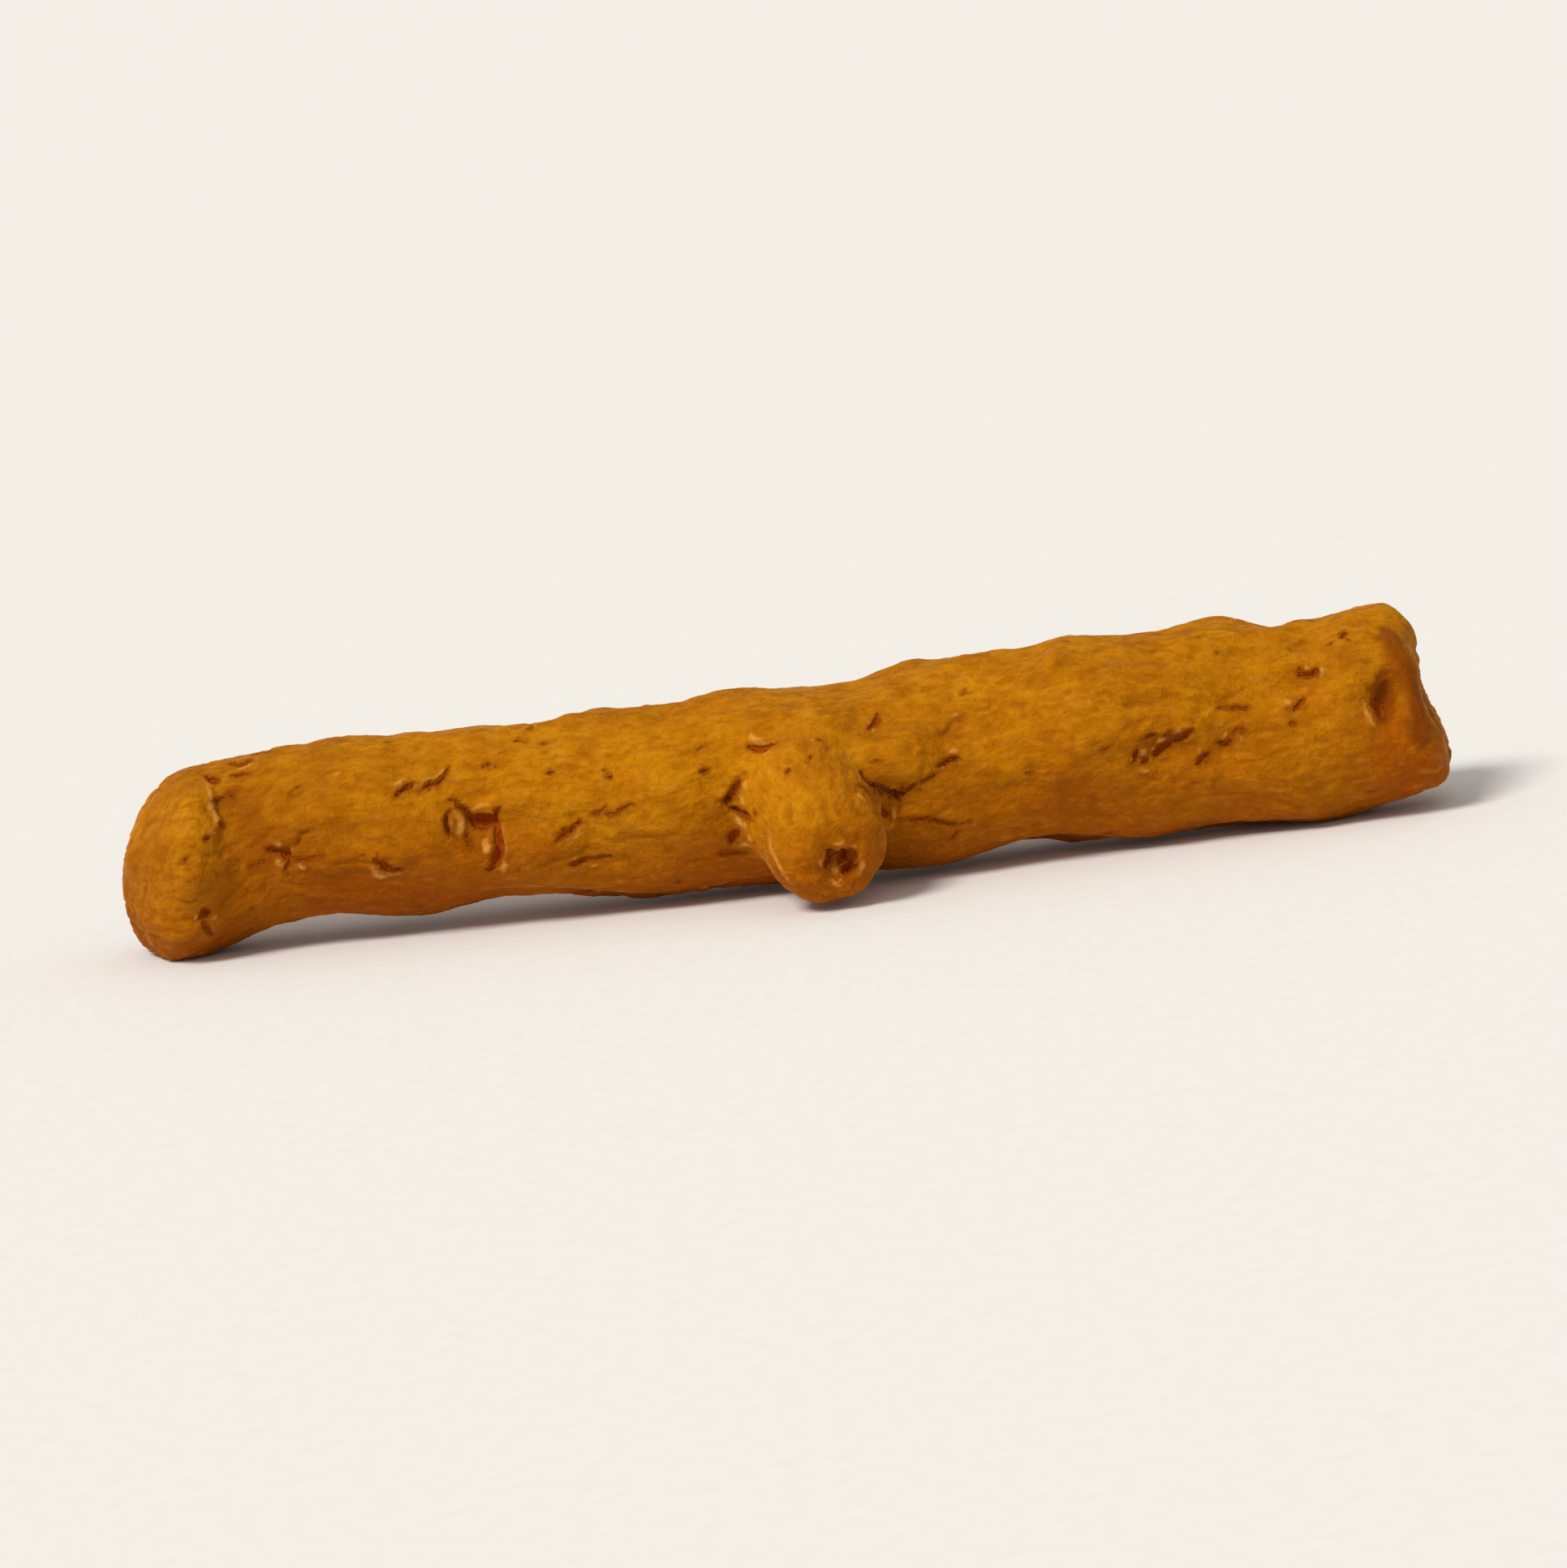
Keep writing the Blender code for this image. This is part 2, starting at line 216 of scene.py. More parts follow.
@dataclass(frozen=True)
class Mark:
    """One cut, crease, pit, chip, stain or sheet of painted shade, as a path on the skin from its patch's
    spot.

    The path's points are (mm right, mm up) from the spot, as seen from outside. Width and depth are in mm.
    The depth of a chip or ridge is its height, and that of a stain or of painted shade is its strength from 0
    to 1. The flap is -1 to 1: the skin on that side of the path, its left where it is positive, stands up as
    a pale flaky edge. Ragged is how far its edge strays in and out, in mm.
    """

    path: tuple[Spot, ...]
    width: float
    depth: float
    kind: Kind = Kind.CRACK
    flap: float = 0.0
    ragged: float = 0.08

    def stations(self, spacing: float = 0.10) -> list[tuple[float, float, float]]:
        """Walks the path on a smooth curve through its points.

        Args:
            spacing: distance between stations, in mm.

        Returns:
            (mm right, mm up, share of the way) of each station.
        """
        points = [np.array(point, dtype=float) for point in self.path]
        if len(points) == 1:
            return [(points[0][0], points[0][1], 0.5)]
        ends = [2 * points[0] - points[1], *points, 2 * points[-1] - points[-2]]
        walked = []
        for index in range(len(points) - 1):
            before, start, stop, after = ends[index:index + 4]
            count = max(2, round(math.dist(start, stop) / spacing))
            is_last = index == len(points) - 2
            for step in range(count + is_last):
                part = step / count
                place = 0.5 * (
                    2 * start + (stop - before) * part
                    + (2 * before - 5 * start + 4 * stop - after) * part**2
                    + (3 * start - before - 3 * stop + after) * part**3
                )
                walked.append((place[0], place[1], (index + part) / (len(points) - 1)))
        return walked


@dataclass(frozen=True)
class Patch:
    """Marks that belong together, placed from one spot of the skin.

    The spot is mm along the finger and degrees round it. A patch on an end has no spot: its marks are placed
    from the end's middle.
    """

    name: str
    marks: tuple[Mark, ...]
    along: float = 0.0
    turn: float = 0.0
    face: Face = Face.SIDE


@dataclass(frozen=True)
class Crumbs:
    """The pale crumbs and dark nicks along cracks and pits, in mm. Its pairs are the least and the most."""

    spacing: float = 0.45
    widest_bare: float = 0.23
    crumb_share: float = 0.65
    off_edge: Range = (0.05, 0.25)
    run_right: Range = (-0.15, 0.25)
    run_up: Range = (-0.12, 0.12)
    crumb_width: Range = (0.22, 0.36)
    crumb_height: Range = (0.05, 0.12)
    nick_width: Range = (0.16, 0.24)
    nick_depth: Range = (0.08, 0.16)

    def beside(self, patch: Patch, draw: random.Random) -> list[Mark]:
        """Draws the crumbs and nicks of a patch.

        Args:
            patch: the patch, whose cracks and pits get them, except the finest ones.
            draw: the seeded generator.

        Returns:
            The crumbs and nicks.
        """
        found = []
        for mark in patch.marks:
            if mark.kind not in (Kind.CRACK, Kind.PIT) or mark.width <= self.widest_bare:
                continue
            for right, up, _ in mark.stations(self.spacing):
                angle = draw.uniform(0.0, 2.0 * math.pi)
                out = 0.5 * mark.width + draw.uniform(*self.off_edge)
                start = (right + out * math.cos(angle), up + out * math.sin(angle))
                end = (start[0] + draw.uniform(*self.run_right), start[1] + draw.uniform(*self.run_up))
                if draw.random() < self.crumb_share:
                    sizes, kind = (self.crumb_width, self.crumb_height), Kind.CHIP
                else:
                    sizes, kind = (self.nick_width, self.nick_depth), Kind.CRACK
                width, depth = (draw.uniform(*size) for size in sizes)
                found.append(Mark((start, end), width, depth, kind))
        return found


@dataclass(frozen=True)
class MiddleLine:
    """The finger's middle line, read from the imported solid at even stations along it."""

    left: float
    stations: np.ndarray
    middle_y: np.ndarray
    middle_z: np.ndarray
    radius: np.ndarray

    @classmethod
    def of(cls, points: np.ndarray, step: float = 0.75, window: float = 1.5,
           spread: int = 2) -> "MiddleLine":
        """Reads the middle line from a mesh's points.

        The bud stands out at the front only, so the middle is taken from the top, the bottom and the back.

        Args:
            points: the mesh's points, in mm.
            step: distance between stations.
            window: half the length of finger that one station reads.
            spread: how many stations on each side a station is averaged with.

        Returns:
            The middle line, smoothed a little.
        """
        left, right = points[:, 0].min(), points[:, 0].max()
        stations = np.arange(left, right, step)
        rows = []
        for station in stations:
            near = points[np.abs(points[:, 0] - station) < window]
            top, bottom, rear = near[:, 2].max(), near[:, 2].min(), near[:, 1].max()
            half = (top - bottom) / 2
            rows.append((rear - half, (top + bottom) / 2, half))
        values = np.array(rows)
        padded = np.pad(values, ((spread, spread), (0, 0)), mode="edge")
        shifts = range(2 * spread + 1)
        smooth = sum(padded[shift:shift + len(values)] for shift in shifts) / len(shifts)
        return cls(left, stations, smooth[:, 0], smooth[:, 1], smooth[:, 2])

    def at(self, x: float | np.ndarray) -> tuple[np.ndarray, np.ndarray, np.ndarray]:
        """The middle's y and z and the finger's radius at each x, in mm."""
        return (
            np.interp(x, self.stations, self.middle_y),
            np.interp(x, self.stations, self.middle_z),
            np.interp(x, self.stations, self.radius),
        )

    def middle(self, x: float) -> np.ndarray:
        """The middle line's point at x, in mm."""
        middle_y, middle_z, _ = self.at(x)
        return np.array([x, middle_y, middle_z])


@dataclass
class Bud:
    """The short side bud: where its axis runs, and which points of the skin belong to it.

    Its axis starts near the finger's middle line, root_depth in front of it, root_shift to the left of its
    tip and sinking above it. The reaches are shares of its radius. A point belongs to it more, the further
    it stands clear of the finger, from clear_from to clear_to.
    """

    root_depth: float = 2.0
    root_shift: float = 0.8
    sinking: float = 0.6
    front_depth: float = 2.5
    near_reach: float = 1.1
    far_reach: float = 1.5
    clear_from: float = 0.2
    clear_to: float = 2.4
    grain_shift: float = 40.0
    root: np.ndarray = field(init=False)
    tip: np.ndarray = field(init=False)
    radius: float = field(init=False)

    def measure(self, points: np.ndarray, line: MiddleLine) -> None:
        """Finds the bud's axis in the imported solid.

        Args:
            points: the solid's points, in mm.
            line: the finger's middle line.
        """
        front = points[points[:, 1] < points[:, 1].min() + self.front_depth]
        self.tip = front.mean(axis=0)
        self.tip[1] = points[:, 1].min()
        self.radius = (front[:, 0].max() - front[:, 0].min()) / 2
        root_x = self.tip[0] - self.root_shift
        self.root = line.middle(root_x) + np.array([0.0, -self.root_depth, self.sinking])

    def share(self, points: np.ndarray, line: MiddleLine) -> np.ndarray:
        """How far each point's skin runs with the bud and not with the finger.

        Args:
            points: skin points, in mm.
            line: the finger's middle line.

        Returns:
            A share from 0 to 1, which rises over the bud's foot.
        """
        reach, offset = self.reach(points)
        away = np.linalg.norm(offset, axis=1)
        near = ease(away, self.radius * self.far_reach, self.radius * self.near_reach)
        middle_y, middle_z, radius = line.at(points[:, 0])
        out = np.hypot(points[:, 1] - middle_y, points[:, 2] - middle_z)
        clear = ease(out - radius, self.clear_from, self.clear_to)
        return near * clear * (reach > 0.0)

    def reach(self, points: np.ndarray) -> tuple[np.ndarray, np.ndarray]:
        """Measures points from the bud's axis.

        Args:
            points: skin points, in mm.

        Returns:
            Each point's distance along the axis, and its offset from the axis, in mm.
        """
        axis = (self.tip - self.root) / np.linalg.norm(self.tip - self.root)
        reach = (points - self.root) @ axis
        return reach, points - self.root - np.outer(reach, axis)

    def grain(self, points: np.ndarray) -> np.ndarray:
        """Coordinates along the bud's axis and across it, in mm, kept apart from the finger's own."""
        reach, offset = self.reach(points)
        return np.stack([reach, offset[:, 0], offset[:, 2] - offset[:, 1]], axis=1) + self.grain_shift


FRONT_PATCHES = (
    Patch("lip of the domed end", along=6.3, turn=42, marks=(
        Mark(((-0.2, 2.8), (0.4, 1.5), (0.5, 0.3), (0.7, -0.6), (0.4, -1.5), (-0.1, -2.3)),
             0.60, 0.24, Kind.CREASE),
        # painted shade: the hollow beside the lip is painted darker
        Mark(((1.2, 1.4), (2.1, -1.3), (2.7, -3.9)), 3.8, 0.62, Kind.STAIN),
        Mark(((0.9, 2.0), (1.9, 0.3), (2.4, -1.6)), 0.50, 0.14, Kind.CREASE),
        Mark(((1.2, -0.6), (2.2, -0.2), (3.4, -0.6)), 0.34, 0.14, Kind.CREASE),
        Mark(((0.8, -2.4), (1.9, -2.0), (2.8, -2.5)), 0.36, 0.14, Kind.CREASE),
        Mark(((-0.4, 2.8), (0.4, 2.3)), 0.24, 0.20),
        Mark(((0.0, 0.6), (0.5, 1.0), (1.2, 1.3)), 0.22, 0.20),
        Mark(((0.3, -0.7), (0.6, -0.7)), 0.32, 0.20, Kind.PIT),
        Mark(((-0.6, -1.7), (-0.2, -1.6)), 0.28, 0.16, Kind.PIT),
        Mark(((1.9, 1.4), (2.9, 1.0)), 0.34, 0.16, Kind.CREASE),
        Mark(((-0.6, 2.9), (-0.1, 1.6), (0.0, 0.4), (0.2, -0.5), (-0.1, -1.2), (-0.6, -1.8)),
             0.50, 0.22, Kind.CHIP),
        Mark(((-0.7, -1.9), (-0.9, -2.8), (-1.4, -4.2)), 0.60, 0.16, Kind.RIDGE),
        Mark(((0.4, -1.2), (0.8, -1.2)), 0.30, 0.08, Kind.CHIP),
    )),
    Patch("wrinkles by the lip", along=10.5, turn=59, marks=(
        Mark(((-3.3, 2.6), (-2.6, 2.1), (-1.9, 1.9)), 0.22, 0.20, flap=0.5),
        Mark(((-2.0, 3.1), (-1.1, 2.1)), 0.20, 0.16),
        Mark(((-3.2, 1.2), (-2.0, 0.9)), 0.22, 0.18),
        Mark(((-2.9, 1.7), (-2.1, 1.5), (-1.3, 1.5)), 0.34, 0.12, Kind.CHIP),
        Mark(((1.7, -1.1), (2.8, -1.5)), 0.30, 0.16, Kind.CREASE),
        Mark(((1.8, -0.5), (3.0, -0.7), (4.3, -0.3)), 0.28, 0.16, Kind.CREASE, flap=0.5),
        Mark(((2.6, -1.0), (3.4, -1.0)), 0.30, 0.08, Kind.CHIP),
        Mark(((0.4, -1.8), (1.3, -2.1), (2.2, -1.9)), 0.34, 0.14, Kind.CREASE),
        Mark(((-1.6, -2.2), (-0.5, -2.7), (0.6, -2.6)), 0.36, 0.14, Kind.CREASE),
    )),
    Patch("star of creases", along=10.0, turn=-6, marks=(
        Mark(((-0.9, 0.2), (0.2, -0.2), (1.5, 0.3)), 2.4, 0.42, Kind.STAIN),
        Mark(((0.3, 0.2), (0.8, 0.6), (1.4, 1.0), (2.1, 1.1)), 0.70, 0.55, Kind.STAIN),
        Mark(((0.0, 0.1), (0.3, -0.2)), 0.62, 0.32, Kind.PIT),
        Mark(((-1.1, 0.7), (-0.5, 0.3), (0.1, 0.0)), 0.32, 0.32, flap=-0.4),
        Mark(((0.3, 0.2), (0.8, 0.6), (1.4, 1.0), (2.0, 1.1)), 0.36, 0.22, Kind.CREASE),
        Mark(((0.2, -0.2), (1.0, -0.4), (2.3, -0.2)), 0.20, 0.20),
        Mark(((0.2, -0.1), (0.1, -0.6), (-0.2, -0.9)), 0.26, 0.24, flap=-0.5),
        Mark(((-0.6, 0.8), (0.0, 0.5)), 0.42, 0.10, Kind.CHIP),
        Mark(((-0.5, -0.1), (-0.4, -0.7)), 0.42, 0.10, Kind.CHIP),
        Mark(((0.6, -0.6), (1.2, -0.8)), 0.40, 0.08, Kind.CHIP),
        Mark(((-2.1, 0.0), (-1.8, -0.2), (-1.3, 0.0)), 0.20, 0.16),
        Mark(((-1.8, 1.3), (-1.0, 1.0)), 0.26, 0.12, Kind.CREASE),
        Mark(((0.3, -1.2), (1.3, -1.0)), 0.24, 0.14, Kind.CREASE),
    )),
    Patch("pit low on the domed end", along=5.2, turn=-30, marks=(
        Mark(((-0.3, 0.4), (0.2, -0.1)), 0.56, 0.29, Kind.PIT),
        Mark(((-0.2, -0.2), (-0.1, -0.8), (0.0, -1.7)), 0.22, 0.22, flap=0.5),
        Mark(((0.3, -0.4), (0.7, -0.3)), 0.34, 0.10, Kind.CHIP),
    )),
    Patch("two-stepped crack", along=18.1, turn=34, marks=(
        Mark(((-1.6, -0.7), (-1.1, -0.4), (-0.6, -0.1), (-0.4, 0.0)), 0.28, 0.30, flap=0.7),
        Mark(((-0.2, -0.2), (0.6, 0.0), (1.1, 0.1), (1.6, 0.5), (1.7, 0.9)), 0.24, 0.28, flap=0.9),
        Mark(((-1.5, 0.0), (-1.0, 0.3), (-0.6, 0.5)), 0.34, 0.10, Kind.CHIP),
        Mark(((-0.7, -0.8), (0.6, -0.8)), 0.40, 0.06, Kind.RIDGE),
        Mark(((3.8, 0.6), (4.1, 0.6)), 0.28, 0.18, Kind.PIT),
    )),
    Patch("forked pit", along=15.6, turn=-17, marks=(
        Mark(((-0.4, 0.3), (0.4, -0.4)), 1.6, 0.35, Kind.STAIN),
        Mark(((-0.7, 0.3), (-0.2, 0.0), (0.3, -0.5), (0.9, -0.3)), 0.44, 0.32, flap=-0.7),
        Mark(((0.1, 0.5),), 0.26, 0.14, Kind.PIT),
        Mark(((0.2, 0.1), (0.5, 0.3)), 0.32, 0.10, Kind.CHIP),
        Mark(((-0.9, -0.1), (-0.5, -0.8), (0.1, -1.2)), 0.46, 0.14, Kind.CHIP),
    )),
    Patch("bud scar", along=20.9, turn=2, marks=(
        Mark(((-0.3, 0.2), (0.0, -1.6)), 2.6, 0.40, Kind.STAIN),
        Mark(((-0.8, -0.9), (-0.2, -1.6)), 0.50, 0.18, Kind.CREASE),
        Mark(((-1.3, 1.0), (-1.5, 0.5), (-1.4, 0.0), (-1.1, -0.5)), 0.24, 0.30, flap=0.5),
        Mark(((-0.9, 1.4), (-0.4, 1.0), (-0.2, 0.4), (0.2, 0.1)), 0.24, 0.32),
        Mark(((-0.1, 0.5), (0.6, 0.1), (1.2, 0.2)), 0.74, 0.40),
        Mark(((0.9, 0.1), (1.5, 0.7)), 0.26, 0.24),
        Mark(((1.2, 0.3), (1.15, -0.8), (1.1, -1.4), (0.8, -2.0), (0.3, -2.4)), 0.50, 0.40, flap=0.5),
        Mark(((-0.2, 0.9), (0.5, 1.0), (1.0, 0.9)), 0.36, 0.10, Kind.CHIP),
        Mark(((-1.1, 1.3), (-0.8, 0.6), (-0.8, 0.0), (-1.0, -0.6)), 0.50, 0.22, Kind.CHIP),
        Mark(((-0.5, -0.3), (-0.4, -1.2)), 0.24, 0.24),
        Mark(((0.5, -0.6), (0.4, -1.6)), 0.50, 0.18, Kind.CHIP),
        Mark(((-0.1, -0.5), (-0.1, -1.0)), 0.60, 0.10, Kind.RIDGE),
        Mark(((-0.7, 1.8), (0.3, 2.0)), 0.50, 0.10, Kind.RIDGE),
        Mark(((1.1, -2.6), (1.5, -1.9)), 0.40, 0.08, Kind.CHIP),
    )),
    Patch("rising crack", along=27.0, turn=-1, marks=(
        Mark(((-1.8, -1.0), (-1.3, -0.7), (-0.9, -0.4), (-0.5, -0.2), (0.1, 0.0)), 0.26, 0.28, flap=-0.5),
        Mark(((0.4, 0.5), (0.9, 0.6), (1.3, 0.8)), 0.20, 0.16, flap=0.4),
        Mark(((1.2, 0.4), (1.8, 0.5), (2.2, 0.8), (3.0, 0.9)), 0.18, 0.14),
        Mark(((-0.8, -0.9), (-0.1, -0.6)), 0.34, 0.08, Kind.CHIP),
    )),
    Patch("low crack", along=26.7, turn=-28, marks=(
        Mark(((-0.7, 0.0), (-0.2, 0.0), (0.5, 0.1)), 0.32, 0.28, flap=-0.5),
        Mark(((0.5, 0.1), (1.6, 0.2)), 0.18, 0.14),
        Mark(((0.1, -0.4), (0.8, -0.2)), 0.30, 0.08, Kind.CHIP),
    )),
    Patch("dents along the upper front", along=28.6, turn=29, marks=(
        Mark(((-3.4, 0.2), (-2.8, 0.2)), 0.30, 0.18, Kind.PIT),
        Mark(((-0.3, 0.0), (0.3, -0.2)), 0.34, 0.22, Kind.PIT, flap=-0.4),
        Mark(((5.1, -0.8), (5.7, -0.6)), 0.32, 0.20, Kind.PIT, flap=-0.4),
        Mark(((-5.1, 2.6), (-4.6, 2.6)), 0.24, 0.14, Kind.PIT),
        Mark(((-4.2, 3.7), (-3.8, 3.8)), 0.24, 0.14, Kind.PIT),
    )),
    Patch("crescent", along=37.2, turn=32, marks=(
        Mark(((-0.6, 0.2), (-0.3, -0.2), (0.3, -0.4), (0.8, -0.2)), 0.36, 0.29, flap=0.8),
        Mark(((-0.4, 0.8), (-0.1, 0.3), (0.4, 0.1)), 0.44, 0.18, Kind.CHIP),
        Mark(((0.1, -0.8), (0.6, -0.8)), 0.28, 0.06, Kind.CHIP),
    )),
    Patch("forked cracks left of the bud", along=35.3, turn=-1, marks=(
        Mark(((-0.2, 0.4), (0.1, -0.9), (0.2, -2.2)), 2.2, 0.38, Kind.STAIN),
        Mark(((0.5, 1.4), (0.3, 1.0), (0.0, 0.5), (-0.5, 0.3)), 0.34, 0.32, flap=-0.4),
        Mark(((-0.4, 0.3), (0.1, 0.3)), 0.56, 0.37, Kind.PIT),
        Mark(((-0.2, 0.1), (0.3, -0.3), (1.0, -0.4)), 0.42, 0.37),
        Mark(((0.1, -1.4), (-0.1, -1.8), (-0.3, -2.3)), 0.40, 0.34, flap=0.5),
        Mark(((-1.0, -3.0), (-0.2, -3.0), (0.6, -3.1)), 0.22, 0.18),
        Mark(((1.5, -0.3), (1.6, -0.6), (1.5, -0.9)), 0.40, 0.20, Kind.CREASE),
        Mark(((0.7, 1.3), (1.0, 0.9)), 0.52, 0.20, Kind.CHIP),
        Mark(((0.4, 0.4), (0.8, 0.2)), 0.50, 0.22, Kind.CHIP),
        Mark(((-0.2, -0.6), (0.4, -0.9), (0.8, -0.8)), 0.54, 0.20, Kind.CHIP),
        Mark(((0.7, -1.3), (0.9, -1.6)), 0.50, 0.16, Kind.CHIP),
        Mark(((0.0, -2.4), (0.5, -2.2), (0.9, -2.0)), 0.54, 0.18, Kind.CHIP),
    )),
    Patch("forked cracks right of the bud", along=43.9, turn=-1, marks=(
        Mark(((0.2, -0.2), (0.7, -0.8)), 1.2, 0.40, Kind.STAIN),
        Mark(((-1.3, 1.4), (-1.0, 0.9), (-0.5, 0.4), (0.0, -0.1), (0.5, -0.5), (1.1, -0.4), (1.7, 0.0)),
             0.30, 0.38, flap=0.4),
        Mark(((0.2, -0.3), (0.7, -0.5)), 0.54, 0.35, Kind.PIT),
        Mark(((-1.3, 0.7), (-0.9, 0.3), (-0.7, -0.1)), 0.26, 0.28),
        Mark(((1.7, 0.0), (2.4, 0.2), (3.1, 0.4)), 0.18, 0.14, flap=0.3),
        Mark(((0.7, -0.7), (0.6, -1.4)), 0.26, 0.24, flap=0.4),
        Mark(((-0.4, -0.9), (0.0, -1.6)), 0.40, 0.30, Kind.PIT),
        Mark(((0.5, -1.8), (1.4, -2.1), (2.4, -2.3), (3.3, -2.8), (4.6, -3.2)), 0.22, 0.18),
        Mark(((-1.6, 0.5), (-1.2, 0.1)), 0.36, 0.12, Kind.CHIP),
        Mark(((-0.4, 1.0), (0.9, 0.5), (2.3, 0.8)), 0.80, 0.10, Kind.RIDGE),
        Mark(((0.4, -0.9), (0.3, -1.8), (-0.1, -2.6)), 0.32, 0.08, Kind.CHIP),
    )),
    Patch("dash and hollow right of them", along=47.7, turn=9, marks=(
        Mark(((-0.1, 1.2), (0.3, 1.9), (0.9, 2.3)), 1.4, 0.42, Kind.STAIN),
        Mark(((-0.2, 1.1), (0.3, 1.9), (0.9, 2.3), (1.2, 2.2)), 0.60, 0.22, Kind.CREASE),
        Mark(((-0.8, -0.3), (-0.2, -0.1), (0.2, 0.0), (0.6, 0.0)), 0.30, 0.34),
        Mark(((-0.2, 0.4), (0.7, 0.4)), 0.40, 0.14, Kind.CHIP),
        Mark(((0.0, -0.4), (0.7, -0.3)), 0.34, 0.08, Kind.CHIP),
        Mark(((0.2, 2.5), (0.7, 2.6)), 0.34, 0.08, Kind.CHIP),
        Mark(((-4.4, 2.3), (-4.0, 2.5), (-3.6, 3.3)), 0.24, 0.18, flap=0.4),
    )),
    Patch("dents over the bud", along=40.5, turn=23, marks=(
        Mark(((-0.6, -0.5), (-0.3, -0.5)), 0.30, 0.18, Kind.PIT, flap=0.4),
        Mark(((0.1, 0.6),), 0.28, 0.14, Kind.PIT),
        Mark(((-0.1, -2.7), (0.7, -2.9), (1.5, -2.8)), 0.32, 0.16, Kind.CREASE, flap=0.4),
        Mark(((-1.7, -0.9), (-1.9, -1.4)), 0.20, 0.14),
        Mark(((0.2, -3.7), (0.9, -4.2)), 1.6, 0.30, Kind.STAIN),
    )),
    Patch("sunken growing point in the bud's tip", along=40.9, turn=-16, marks=(
        Mark(((-0.1, 0.1), (0.2, -0.2)), 3.2, 0.45, Kind.STAIN),
        Mark(((-0.1, 0.2), (0.2, 0.0)), 0.90, 0.40),
        Mark(((-0.6, 0.6), (-0.2, 0.4), (0.8, 0.5)), 0.50, 0.40, flap=0.5),
        Mark(((-0.5, 0.4), (-0.7, -0.3)), 0.44, 0.37, flap=-0.3),
        Mark(((0.0, 0.3), (0.4, -0.3), (0.2, -0.8)), 0.62, 0.45),
        Mark(((0.7, 0.4), (0.7, -0.1)), 0.40, 0.32),
        Mark(((-0.5, -0.4), (-0.2, -0.7)), 0.50, 0.30, Kind.CHIP),
        Mark(((1.1, 0.3), (1.2, -0.5), (0.8, -1.2)), 0.50, 0.20, Kind.CHIP),
        Mark(((0.7, 0.9), (1.1, 0.7)), 0.44, 0.16, Kind.CHIP),
        Mark(((-0.7, 1.2), (0.0, 1.1), (0.5, 1.2)), 0.44, 0.16, Kind.CHIP),
        Mark(((-1.1, 0.6), (-1.0, -0.4)), 0.34, 0.10, Kind.CHIP),
        Mark(((-0.9, -0.9), (-0.1, -1.3)), 0.34, 0.10, Kind.CHIP),
    )),
    Patch("edge of the bud's left side", along=38.7, turn=-11, marks=(
        # painted highlight: a slightly raised edge painted pale where the bud's rim catches the light
        Mark(((-1.6, 1.3), (-1.6, 0.2), (-1.3, -0.8), (-0.9, -1.7), (-0.2, -2.5)), 0.50, 0.08, Kind.CHIP),
    )),
    Patch("long scar", along=59.9, turn=0, marks=(
        Mark(((-1.2, 0.2), (0.2, 0.0), (1.6, 0.0)), 1.9, 0.38, Kind.STAIN),
        Mark(((-1.6, 0.0), (-0.6, 0.2), (0.6, 0.5), (1.2, 0.7)), 1.1, 0.75, Kind.STAIN),
        Mark(((0.3, -0.9), (1.4, -1.0)), 0.90, 0.08, Kind.RIDGE),
        Mark(((-1.9, -0.6), (-1.8, 0.0)), 0.26, 0.30, ragged=0.14),
        Mark(((-1.6, 0.4), (-1.0, 0.6), (-0.6, 0.7)), 0.22, 0.26, ragged=0.14),
        Mark(((-0.2, 0.7), (0.3, 0.8)), 0.18, 0.20, ragged=0.14),
        Mark(((-0.9, -0.4), (-0.3, -0.1), (0.3, 0.1)), 0.42, 0.35, flap=-0.4, ragged=0.16),
        Mark(((0.2, 0.2), (0.7, 0.3), (1.1, 0.5), (1.5, 0.8)), 0.30, 0.29, flap=-0.4, ragged=0.14),
        Mark(((-1.6, -0.6), (-1.1, -0.5)), 0.24, 0.22),
        Mark(((-1.4, 0.1), (-1.35, -0.3)), 0.60, 0.26, Kind.CHIP),
        Mark(((-0.6, 0.4), (-0.1, 0.45)), 0.62, 0.28, Kind.CHIP),
        Mark(((0.5, 0.7), (0.9, 0.9)), 0.40, 0.12, Kind.CHIP),
        Mark(((-1.8, -0.9), (-0.9, -1.3)), 0.34, 0.06, Kind.CHIP),
        Mark(((-2.0, -1.2), (-0.4, -1.8), (1.4, -1.7)), 0.26, 0.12, Kind.CREASE),
        Mark(((-4.0, 0.1), (-3.4, 0.2)), 0.28, 0.16, Kind.PIT),
    )),
    Patch("second part of the long scar", along=62.7, turn=-3, marks=(
        Mark(((-0.8, -0.6), (0.6, 0.0), (1.6, 0.5)), 1.5, 0.30, Kind.STAIN),
        Mark(((-1.2, -0.9), (-0.8, -0.6), (-0.4, -0.3)), 0.28, 0.30),
        Mark(((-0.1, 0.1), (0.5, -0.1), (0.9, 0.2)), 0.32, 0.32),
        Mark(((1.0, 0.5), (1.6, 0.7)), 0.22, 0.22),
        Mark(((-1.0, -0.1), (-1.1, -0.4)), 0.42, 0.16, Kind.CHIP),
        Mark(((0.3, 0.5), (0.8, 0.5)), 0.42, 0.14, Kind.CHIP),
        Mark(((1.1, 0.1), (1.6, 0.2)), 0.32, 0.08, Kind.CHIP),
        Mark(((0.2, 1.9), (1.2, 1.9), (2.1, 1.8)), 0.20, 0.16, flap=0.3),
    )),
    Patch("pit before the broken end", along=67.2, turn=19, marks=(
        Mark(((-0.7, -0.3), (-0.2, -0.7)), 0.90, 0.45, Kind.STAIN),
        Mark(((-0.1, -0.3), (0.3, 0.1), (0.6, 0.4)), 0.36, 0.29, Kind.PIT),
